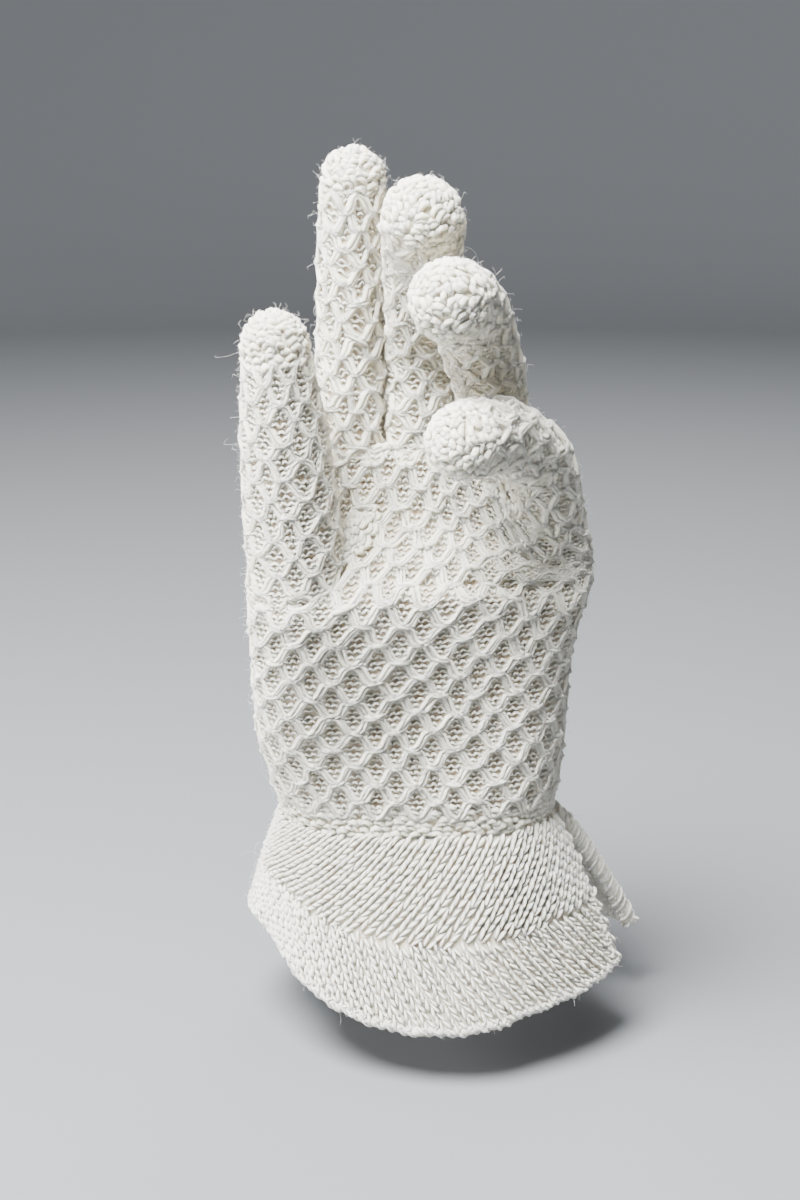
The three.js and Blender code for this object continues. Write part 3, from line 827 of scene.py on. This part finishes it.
HONEYCOMB_WOOL = angora_material("honeycomb_angora", YARN_WHITE, PAINTED_HOLLOW_SHADE, 1300)


def dress(obj, material):
    """Material and place in the frame of one piece."""
    obj.data.materials.append(material)
    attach(obj, "root")


for piece in (hand_ground, hand_net, hand_purl):
    dress(piece, HONEYCOMB_WOOL)
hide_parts("hand")

# The five digits: narrower honeycomb tubes in the same angora, knitted on from the hand's
# openings and closed at a plain purl tip. They are half curled and lie close side by side.
DIGIT_WALL = 1.7
DIGIT_MESH_STEP = 0.85
DIGIT_INSIDE_COARSENESS = 4
DIGIT_WEB_HEIGHT = -0.95
WEB_SQUARENESS = 3.2
ROUNDING_LENGTH = 14
DIGIT_RELIEF = 0.62
DIGIT_STRANDS = dict(lanes=(-0.38, 0.38), radius=0.7, uneven_lane=0.1)
DIGIT_CEILING = -0.8
TIP_COURSE = 1.45
TIP_LEVEL = -0.85
TIP_FADE = 0.05
# Painted shade weight of the ground under the plain purl tip.
TIP_PAINTED_SHADE = 0.12
TIP_ANGLES = np.radians(np.arange(3, 87, 4))
POLE_RISE = 0.15


def digit_patch(digit, start, cells_round, cell):
    """Grid over a digit, from its base to just short of the tip's pole."""
    first, second, third = digit["phalanges"]
    tip = digit["radii"][4]
    end = first + second + third - tip
    sides = GRID_SIDES // 2
    angle = 2 * np.pi * np.arange(sides) / sides
    stations = [(s, 1.0) for s in np.linspace(start, end, int(end - start) * 2)]
    stations += [(end + tip * math.sin(a), math.cos(a)) for a in TIP_ANGLES]
    rings = []
    for s, share in stations:
        centre, normal, side = digit_frame(digit, s)
        radius = digit_radius(digit, min(s, end)) * share
        power = WEB_SQUARENESS + (2 - WEB_SQUARENESS) * smooth((s - digit["web"]) / ROUNDING_LENGTH)
        across, out = -np.cos(angle), np.sin(angle)
        pressed = np.where(across < 0, digit["flat"][0], digit["flat"][1])
        powers = np.where(pressed, power, 2.0)
        size = radius * (np.abs(across) ** powers + np.abs(out) ** powers) ** (-1 / powers)
        rings.append(centre + side * (across * size)[:, None] + normal * (out * size)[:, None])
    grid, length = even_rows(np.array(rings), GRID_STEP)
    return make_patch(grid, length, True, cells_round, cell)


def digit_ground(name, patch, wall, step, relief):
    """Closed wall of a digit, open at its base, with both skins closed at the tip."""
    columns = int(round(mesh_girth(patch) / step))
    rows = int(round(patch["length"] / step)) + 1
    share = (np.arange(columns) / columns)[None, :]

    def skin(count, lift):
        x, y = np.broadcast_arrays(share, np.linspace(0, 1, count)[:, None])
        height, painted_shade_weight = relief(x, y) if lift is None else level_skin(x.shape, lift)
        points, normals = on_patch(patch, x, y, height)
        pole = points[-1].mean(axis=0) + unit(normals[-1].mean(axis=0)) * POLE_RISE
        return points.reshape(-1, 3), painted_shade_weight.reshape(-1), pole

    outer, outer_shade, outer_pole = skin(rows, None)
    inner_rows = max(3, rows // DIGIT_INSIDE_COARSENESS)
    inner, inner_shade, inner_pole = skin(inner_rows, -wall)
    points = np.vstack([outer, [outer_pole], inner, [inner_pole]])
    # Painted shade weights: the relief's outside, fixed weights at both tip poles and on the inner skin.
    shade = np.concatenate([outer_shade, [LIP_AND_POLE_PAINTED_SHADE], inner_shade, [INSIDE_PAINTED_SHADE]])
    column = np.arange(columns)
    outer_last, inner_first = (rows - 1) * columns + column, len(outer) + 1 + column
    inner_last = inner_first + (inner_rows - 1) * columns
    faces = [
        grid_faces(rows, columns, True),
        grid_faces(inner_rows, columns, True, len(outer) + 1, flip=True),
        strip_faces(inner_first, column),
        np.stack([outer_last, np.roll(outer_last, -1), np.full(columns, len(outer))], 1),
        np.stack([np.roll(inner_last, -1), inner_last, np.full(columns, len(points) - 1)], 1),
    ]
    return add_mesh(name, points, faces, shade)


def knit_digit(digit, start, cells_round, cell, seed):
    """Ground, net and purl of one digit, from its start on the digit's line to the tip."""
    digit["patch"] = digit_patch(digit, start, cells_round, cell)
    patch = digit["patch"]
    plain = 1 - digit["plain"] / patch["length"]

    def relief(x, y):
        height, painted_shade_weight = honeycomb_relief(x * patch["round"], y * patch["along"])
        web = 1 - smooth(y * patch["length"] / WEB_BAND)
        height = (height * DIGIT_RELIEF - digit["sink"]) * (1 - web) + DIGIT_WEB_HEIGHT * web
        tip = smooth((y - plain + 0.02) / TIP_FADE)
        return blend((height, painted_shade_weight * (1 - 0.8 * web)), (TIP_LEVEL, TIP_PAINTED_SHADE), tip)

    def in_honeycomb(x, y):
        return y < plain

    name = digit["name"]
    ground = digit_ground(name + "_knit", patch, DIGIT_WALL, DIGIT_MESH_STEP, relief)
    floats = add_yarns(name + "_floats", net_strands(patch, in_honeycomb, relief, seed, DIGIT_STRANDS))
    courses = np.arange(patch["length"] - 0.35, patch["length"] - digit["plain"], -TIP_COURSE)
    tip_rows = purl_bumps(patch, courses, TIP_LEVEL, seed + 2)
    cells = purl_rows(patch, in_honeycomb, relief, DIGIT_CEILING, seed + 1)
    purl = add_yarns(name + "_purl", cells + tip_rows)
    for piece in (ground, floats, purl):
        dress(piece, HONEYCOMB_WOOL)
    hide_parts(name)


# plain is the length of the purl tip and sink how far the honeycomb lies below the surface.
FINGER_BASE = 4.6
FINGER_CELL = (6.8, 7.8)
THUMB_START = 20.5
THUMB_CELL = (8.4, 8.6)
for number, finger in enumerate(FINGERS):
    finger.update(plain=12, sink=0.1)
    knit_digit(finger, finger["web"] - FINGER_BASE, 7, FINGER_CELL, 100 + 10 * number)
THUMB.update(plain=13.5, sink=0.4)
knit_digit(THUMB, THUMB_START, 8, THUMB_CELL, 150)

# The cuff: a short flared band knitted on the bias in two stockinette bands that meet in a
# chevron. It is picked up round the wrist, and its two ends are left open as a slit.
CUFF_WALL = 2.2
HEM_POINTS = [
    (53.5, 12, -34), (45, 27, -37), (20, 38, -40), (-12, 38, -39), (-33, 24, -34),
    (-40, 8, -27), (-39, -3, -25), (-33.5, -13, -27.5), (-26.8, -22.5, -33.7), (-16, -31, -37.8),
    (-2, -36, -40), (14, -36, -39.5), (27, -30, -37.5), (38, -22, -36.3), (47.5, -11, -34),
]
CUFF_FLARE = 0.8
SLIT_HALF_ANGLE = 2.5
CUFF_GIRTH = 215.0
CHEVRON = 0.54
CUFF_COLUMNS = 321
CUFF_ROWS = 61
WRIST_SIDES = 2880
GROUND_DEPTH = 0.8
# Painted shade weight of the cuff's ground sheet, which shows darker between the stitches' legs.
CUFF_GROUND_PAINTED_SHADE = 0.35


def smooth_line(stops, count):
    """Evenly spaced points on a centripetal curve through the stops."""
    stops = np.array(stops, float)
    stops = np.vstack([2 * stops[0] - stops[1], stops, 2 * stops[-1] - stops[-2]])
    knots = np.concatenate([[0], np.cumsum(np.linalg.norm(np.diff(stops, axis=0), axis=1) ** 0.5)])
    dense = []
    for k in range(1, len(stops) - 2):
        t = np.linspace(knots[k], knots[k + 1], 40, endpoint=False)[:, None]

        def between(a, b, ta, tb):
            return (tb - t) / (tb - ta) * a + (t - ta) / (tb - ta) * b

        a1 = between(stops[k - 1], stops[k], knots[k - 1], knots[k])
        a2 = between(stops[k], stops[k + 1], knots[k], knots[k + 1])
        a3 = between(stops[k + 1], stops[k + 2], knots[k + 1], knots[k + 2])
        b1 = between(a1, a2, knots[k - 1], knots[k + 1])
        b2 = between(a2, a3, knots[k], knots[k + 2])
        dense.append(between(b1, b2, knots[k], knots[k + 1]))
    dense = np.vstack(dense + [stops[-2:-1]])
    lengths = running_length(dense)
    return along_line(np.linspace(0, lengths[-1], count), lengths, dense)


def cuff_patch():
    """The cuff's surface, flared from the wrist to the hem and open at the slit."""
    hem = smooth_line(HEM_POINTS, CUFF_COLUMNS)
    wrist = heel_ring(0, WRIST_SIDES)
    angle = np.linspace(SLIT_HALF_ANGLE, 360 - SLIT_HALF_ANGLE, CUFF_COLUMNS)
    around = running_length(wrist)
    top = along_line((1 - angle / 360) * around[-1], around, wrist)
    drop = np.linspace(0, 1, CUFF_ROWS)[:, None, None]
    grid = top * (1 - drop ** CUFF_FLARE) + hem * drop ** CUFF_FLARE
    grid[..., 2] = top[:, 2] * (1 - drop[..., 0]) + hem[:, 2] * drop[..., 0]
    length = np.linalg.norm(np.diff(grid, axis=0), axis=2).sum(axis=0).mean()
    return make_patch(grid, length, False, 1, (CUFF_GIRTH, length))


cuff = cuff_patch()


def cuff_ground(name, patch, wall, columns, rows):
    """Closed sheet whose two skins join round the wrist, hem and slit."""
    x, y = np.meshgrid(np.linspace(0, 1, columns), np.linspace(0, 1, rows))
    outer, _ = on_patch(patch, x, y, np.full(x.shape, -GROUND_DEPTH))
    inner, _ = on_patch(patch, x, y, np.full(x.shape, -wall))
    count = rows * columns
    ids = np.arange(count).reshape(rows, columns)
    rim = np.concatenate([ids[0, :-1], ids[:-1, -1], ids[-1, :0:-1], ids[:0:-1, 0]])
    faces = [
        grid_faces(rows, columns, False),
        grid_faces(rows, columns, False, count, flip=True),
        strip_faces(rim + count, rim),
    ]
    points = np.vstack([outer.reshape(-1, 3), inner.reshape(-1, 3)])
    return add_mesh(name, points, faces, np.full(len(points), CUFF_GROUND_PAINTED_SHADE))


LEG_STEPS = 5
LEG_SPREAD = (0.13, 0.24)
LEG_FALL = (0.7, 1.35)
LEG_LEVEL = -0.62
LEG_ARCH = 0.5
LEG_SWELL = (0.72, 0.4)
UNEVEN_LEG = dict(across=0.13, along=0.1, lift=0.09, radius=0.1)
HEM_INSET = 0.35
SLIT_INSET = 0.8
SEAM_RISE = 0.5
SEAM_REACH = 2.5

# start and end are shares of the cuff's length, lean is in degrees, stitch is width and
# height, leg the yarn's radius and margin how far the band keeps from its start.
BANDS = [
    dict(name="upper", start=0.0, end=CHEVRON, lean=-40, stitch=(3.0, 2.15), leg=0.6, margin=-0.3),
    dict(name="hem", start=CHEVRON, end=1.0, lean=33, stitch=(2.5, 1.85), leg=0.52, margin=0.35),
]


def stitch_legs(band, seed):
    """Two slanting legs for each stitch, in wales that lean across the band."""
    length = cuff["length"]
    lean = math.radians(band["lean"])
    ahead = np.array([math.sin(lean), math.cos(lean)])
    beside = np.array([math.cos(lean), -math.sin(lean)])
    width, height = band["stitch"]
    reach = int((CUFF_GIRTH + 2 * length) / width)
    i, j = np.meshgrid(np.arange(-reach, reach), np.arange(-reach, reach), indexing="ij")
    centre = i.reshape(-1, 1) * width * beside + j.reshape(-1, 1) * height * ahead
    centre = centre + np.array([CUFF_GIRTH / 2, CHEVRON * length])
    low, high = band["start"] * length + band["margin"], band["end"] * length - HEM_INSET
    good = (centre[:, 1] > low) & (centre[:, 1] < high)
    good &= (centre[:, 0] > SLIT_INSET) & (centre[:, 0] < CUFF_GIRTH - SLIT_INSET)
    centre = centre[good]
    rng = np.random.default_rng(seed)
    t = np.linspace(0, 1, LEG_STEPS)
    bundles = []

    def spread(kind):
        return rng.normal(0, UNEVEN_LEG[kind], (len(centre), 1))

    for way in (1, -1):
        off = way * width * (LEG_SPREAD[0] + LEG_SPREAD[1] * t)
        rise = height * (LEG_FALL[0] - LEG_FALL[1] * t)
        x = centre[:, :1] + off * beside[0] + rise * ahead[0] + spread("across")
        y = centre[:, 1:] + off * beside[1] + rise * ahead[1] + spread("along")
        lift = LEG_LEVEL + LEG_ARCH * np.sin(np.pi * np.clip(t * 0.9 + 0.1, 0, 1)) + spread("lift")
        lift = lift + SEAM_RISE * np.exp(-np.maximum(y, 0) / SEAM_REACH)
        points, normals = on_patch(cuff, x / CUFF_GIRTH, np.clip(y / length, 0, 1), lift)
        thick = band["leg"] * (LEG_SWELL[0] + LEG_SWELL[1] * np.sin(np.pi * t)) * (1 + spread("radius"))
        bundles.append((points, normals, thick, 3))
    return bundles


# The cuff's yarn colour, and the painted shade colour of its ground between the stitches.
CUFF_WHITE = (0.87, 0.82, 0.69)
CUFF_PAINTED_SHADE = (0.66, 0.59, 0.47)
CUFF_WOOL = angora_material("cuff_angora", CUFF_WHITE, CUFF_PAINTED_SHADE, 1400)
cuff_base = cuff_ground("cuff_knit", cuff, CUFF_WALL, 150, 30)
dress(cuff_base, CUFF_WOOL)
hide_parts("cuff")
for number, band in enumerate(BANDS):
    legs = add_yarns("cuff_" + band["name"] + "_stitches", stitch_legs(band, 200 + number))
    dress(legs, CUFF_WOOL)


LINING_PIECES = 20
LINING_STEPS = 13
LINING_OVERLAP = 1.05
LINING_ENDS = (1.2, 1.0)
LINING_ROW = 2.1
LINING_WAVE = 2.35
LINING_SWING = 0.5
LINING_RADIUS = 0.5
UNEVEN_LINING = 0.05


def lining_rows(seed):
    """The purl side of the stockinette: level rows of waving yarn inside the cuff."""
    length = cuff["length"]
    rng = np.random.default_rng(seed)
    bundles = []
    starts = (np.arange(LINING_PIECES) * CUFF_GIRTH / LINING_PIECES)[:, None]
    x_mm = np.linspace(0.0, LINING_OVERLAP, LINING_STEPS)[None, :] * CUFF_GIRTH / LINING_PIECES + starts
    depth = np.full(x_mm.shape, 0.1 - CUFF_WALL)
    for row, level in enumerate(np.arange(LINING_ENDS[0], length - LINING_ENDS[1], LINING_ROW)):
        wave = 2 * np.pi * x_mm / LINING_WAVE + math.pi * (row % 2)
        y_mm = level + LINING_SWING * np.sin(wave) + rng.normal(0, UNEVEN_LINING, x_mm.shape)
        points, normals = on_patch(cuff, np.clip(x_mm / CUFF_GIRTH, 0, 1), y_mm / length, depth)
        bundles.append((points, normals, LINING_RADIUS, 3))
    return bundles


dress(add_yarns("cuff_purl_side", lining_rows(203)), CUFF_WOOL)


BEAD_STEP = 0.8
BEAD_DEPTH = 0.2
BEAD_SWELL = 0.07
BEAD_ENDS = (0.6, 0.9, 0.9, 0.6)
EDGE_LOOP_STEPS = 7
EDGE_LOOP_RADIUS = 0.42
EDGE_LOOP_SLANT = 1.5
UNEVEN_EDGE = dict(bead=0.05, place=0.3, size=0.06, slant=0.4)


def edge_bead(name, x, y, radius, pitch, seed):
    """Soft rolled edge: an uneven bead on the rim of the sheet, with slanted stitches over it."""
    middle, normals = on_patch(cuff, x, y, np.full(x.shape, -CUFF_WALL / 2 - BEAD_DEPTH))
    lengths = running_length(middle)
    rng = np.random.default_rng(seed)
    steps = int(lengths[-1] / BEAD_STEP)
    places = np.linspace(0, lengths[-1], steps)
    here, out = along_line(places, lengths, middle), unit(along_line(places, lengths, normals))
    swell = 1 + BEAD_SWELL * np.sin(2 * np.pi * places / pitch) + rng.normal(0, UNEVEN_EDGE["bead"], steps)
    swell[[0, 1, -2, -1]] = BEAD_ENDS
    bead = (here[None], out[None], (radius * swell)[None], 8)
    count = int(lengths[-1] / pitch)
    places = (np.arange(count) + 0.5) * lengths[-1] / count + rng.normal(0, UNEVEN_EDGE["place"], count)
    here, out = along_line(places, lengths, middle), unit(along_line(places, lengths, normals))
    ahead = unit(np.gradient(here, axis=0))
    beside = np.cross(ahead, out)
    turn = np.linspace(-0.1, 1.1, EDGE_LOOP_STEPS) * np.pi
    size = (radius - 0.02) * (1 + rng.normal(0, UNEVEN_EDGE["size"], (count, 1, 1)))
    slant = pitch * EDGE_LOOP_SLANT + rng.normal(0, UNEVEN_EDGE["slant"], (count, 1, 1))
    slant = np.linspace(-0.5, 0.5, EDGE_LOOP_STEPS)[:, None] * slant
    bundles = [bead]
    for way in (1, -1):
        loops = (here[:, None] + out[:, None] * np.cos(turn)[:, None] * size
                 + beside[:, None] * np.sin(turn)[:, None] * size * way + ahead[:, None] * slant)
        normals = np.broadcast_to(ahead[:, None], loops.shape)
        bundles.append((loops, normals, EDGE_LOOP_RADIUS, 4))
    return add_yarns(name, bundles)


# Each edge's name, places round and down the cuff in shares, radius, stitch pitch and seed.
around = np.linspace(0, 1, 260)
wavy_hem = 0.982 + 0.006 * np.sin(around * 150)
down = np.linspace(0.03, 1, 60)
edges = [
    edge_bead("cuff_hem_edge", around, wavy_hem, 1.15, 2.6, 205),
    edge_bead("cuff_slit_back_edge", np.full(60, 0.008), down, 2.0, 2.4, 206),
    edge_bead("cuff_slit_front_edge", np.full(60, 0.992), down, 1.2, 2.2, 207),
]
for edge in edges:
    dress(edge, CUFF_WOOL)

# Angora halo: fine curled hairs that stand off the yarn all over the glove.
# They are the loose ends of the rabbit wool, brushed up in wear.
HAIR_WHITE = (0.93, 0.92, 0.89)
HAIR_RADIUS = 0.027
HAIR_TAPER = np.array([0.8, 1.0, 0.5])
HAIR_ROOT = -0.1
HAIR_LEAN = (0.7, 3.4)
HAIR_BEND = 0.8
SHORTEST_HAIR = 1.0
MEAN_GROWTH = 0.7
LONGEST_HAIR = 3.0
STRAY_STEPS = 12
STRAY_STEP = 0.85
STRAY_CURL = 0.33
STRAY_BAND = (0.05, 0.98)
STRAY_TAPER = (1.1, 0.5)


def halo(name, patch, count, strays, seed):
    """Short bent hairs spread evenly over a patch, and a few long strays."""
    rng = np.random.default_rng(seed)
    around = np.linalg.norm(np.diff(patch["grid"], axis=1), axis=2).sum(axis=1)
    area = np.concatenate([[0], np.cumsum(around[1:] + around[:-1])])
    x = rng.random(count)
    y = np.interp(rng.random(count), area / area[-1], np.linspace(0, 1, len(area)))
    length = np.minimum(SHORTEST_HAIR + rng.exponential(MEAN_GROWTH, count), LONGEST_HAIR)
    base, normal = on_patch(patch, x, y, np.full(count, HAIR_ROOT))
    lean = rng.normal(size=(count, 3))
    lean = unit(lean - normal * np.sum(lean * normal, axis=1, keepdims=True))
    bend = unit(rng.normal(size=(count, 3)))
    t = np.linspace(0, 1, 3)[None, :, None]
    size = HAIR_BEND * length[:, None, None]
    slope = rng.uniform(*HAIR_LEAN, (count, 1, 1))
    points = (base[:, None] + unit(normal[:, None] + lean[:, None] * slope) * t * size
              + bend[:, None] * np.sin(np.pi * t * 0.75) ** 2 * size)
    short = (points, np.broadcast_to(bend[:, None], points.shape), HAIR_RADIUS * HAIR_TAPER, 3)
    return add_yarns(name, [short, stray_hairs(patch, strays, rng)])


def stray_hairs(patch, count, rng):
    """A few long loose hairs that curl away from the knitting."""
    x, y = rng.random(count), rng.uniform(*STRAY_BAND, count)
    base, normal = on_patch(patch, x, y, np.full(count, 0.3))
    axis = unit(rng.normal(size=(count, 3)))
    heading = unit(normal + 0.7 * rng.normal(size=(count, 3)))
    points = [base]
    for _ in range(STRAY_STEPS - 1):
        curl = np.cross(axis, heading) * STRAY_CURL
        heading = unit(heading + curl + 0.1 * rng.normal(size=(count, 3)))
        points.append(points[-1] + heading * STRAY_STEP)
    points = np.stack(points, axis=1)
    thick = HAIR_RADIUS * np.linspace(*STRAY_TAPER, STRAY_STEPS)
    return points, np.broadcast_to(axis[:, None], points.shape), thick, 3


# Each halo's name, patch, short hairs, long strays and seed.
HALO_WOOL = angora_material("angora_halo", HAIR_WHITE, HAIR_WHITE, 900)
halos = [("hand_halo", hand, 5000, 26, 21), ("cuff_halo", cuff, 3400, 30, 22)]
for number, finger in enumerate(FINGERS):
    halos.append((finger["name"] + "_halo", finger["patch"], 1400, 5, 23 + number))
halos.append(("thumb_halo", THUMB["patch"], 1700, 5, 31))
for name, patch, count, strays, seed in halos:
    dress(halo(name, patch, count, strays, seed), HALO_WOOL)

# Studio: a round pale floor that curves up into a pale backdrop on all sides, soft lights, and
# a camera that looks a little down on the palm. Sizes are in metres.
FLOOR_DROP = 0.012
FLOOR_GREY = (0.14, 0.147, 0.156)
BACKDROP_DISTANCE = 1.3
BACKDROP_BEND = 0.5
BACKDROP_HEIGHT = 1.4
BACKDROP_SIDES = 64


def studio_floor():
    """A bowl with a flat floor below the glove."""
    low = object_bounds()[0][2] - FLOOR_DROP
    profile = [(0.02, low)]
    for a in np.radians(np.arange(0, 91, 6)):
        rise = BACKDROP_BEND * (1 - math.cos(a))
        profile.append((BACKDROP_DISTANCE + BACKDROP_BEND * math.sin(a), low + rise))
    profile.append((BACKDROP_DISTANCE + BACKDROP_BEND, low + BACKDROP_HEIGHT))
    profile = np.array(profile) / MM
    turn = 2 * np.pi * np.arange(BACKDROP_SIDES) / BACKDROP_SIDES
    points = np.array([(r * math.cos(a), r * math.sin(a), z) for r, z in profile for a in turn])
    middle = np.arange(BACKDROP_SIDES)[None, :]
    faces = [grid_faces(len(profile), BACKDROP_SIDES, True, flip=True), middle]
    return add_mesh("studio_floor", points, faces)


floor = studio_floor()
paper = bpy.data.materials.new("backdrop_paper")
paper.use_nodes = True
paper.node_tree.nodes["Principled BSDF"].inputs["Base Color"].default_value = (*FLOOR_GREY, 1)
paper.node_tree.nodes["Principled BSDF"].inputs["Roughness"].default_value = 0.9
floor.data.materials.append(paper)
floor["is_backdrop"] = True

ELEVATION = math.radians(15)
LENS = 60
SENSOR = 36
PICTURE = (800, 1200)
ORIGIN_PIXEL = (418, 805)
PIXELS_PER_MM = 4.3


def add_camera():
    """Camera that puts the glove's origin at its pixel, at the picture's scale."""
    focal = PICTURE[1] * LENS / SENSOR
    ahead = np.array([0, math.cos(ELEVATION), -math.sin(ELEVATION)])
    up = np.array([0, math.sin(ELEVATION), math.cos(ELEVATION)])
    right_mm = (PICTURE[0] / 2 - ORIGIN_PIXEL[0]) / PIXELS_PER_MM
    up_mm = (ORIGIN_PIXEL[1] - PICTURE[1] / 2) / PIXELS_PER_MM
    target = np.array([right_mm, 0, 0]) + up * up_mm
    place = (target - ahead * focal / PIXELS_PER_MM) * MM
    data = bpy.data.cameras.new("palm_camera")
    data.lens = LENS
    data.sensor_width = SENSOR
    data.sensor_fit = "AUTO"
    camera = bpy.data.objects.new("palm_camera", data)
    camera.location = place
    camera.rotation_euler = (math.pi / 2 - ELEVATION, 0, 0)
    bpy.context.collection.objects.link(camera)
    bpy.context.scene.camera = camera


def soft_light(name, place, aim, size, watts):
    """Round area light turned towards its aim."""
    data = bpy.data.lights.new(name, "AREA")
    data.shape = "DISK"
    data.size = size
    data.energy = watts
    light = bpy.data.objects.new(name, data)
    light.location = place
    way = np.array(aim) - np.array(place)
    light.rotation_euler = (math.atan2(math.hypot(way[0], way[1]), -way[2]), 0,
                            math.atan2(way[1], way[0]) - math.pi / 2)
    bpy.context.collection.objects.link(light)


add_camera()
GLOVE_MIDDLE = (0, 0, 0.06)
FINGER_ROOTS = (0, 0, 0.09)
soft_light("key_light", (-0.21, -0.27, 0.65), FINGER_ROOTS, 0.4, 48)
soft_light("window_light", (-0.92, -0.26, 0.2), GLOVE_MIDDLE, 0.6, 25)
soft_light("fill_light", (0.5, -0.95, 0.15), GLOVE_MIDDLE, 0.8, 1.0)
soft_light("rim_light", (0.2, 0.7, 0.7), GLOVE_MIDDLE, 0.5, 6)
world = bpy.data.worlds.new("studio_air")
world.use_nodes = True
world.node_tree.nodes["Background"].inputs["Color"].default_value = (0.95, 0.97, 1.0, 1)
world.node_tree.nodes["Background"].inputs["Strength"].default_value = 0.38
bpy.context.scene.world = world
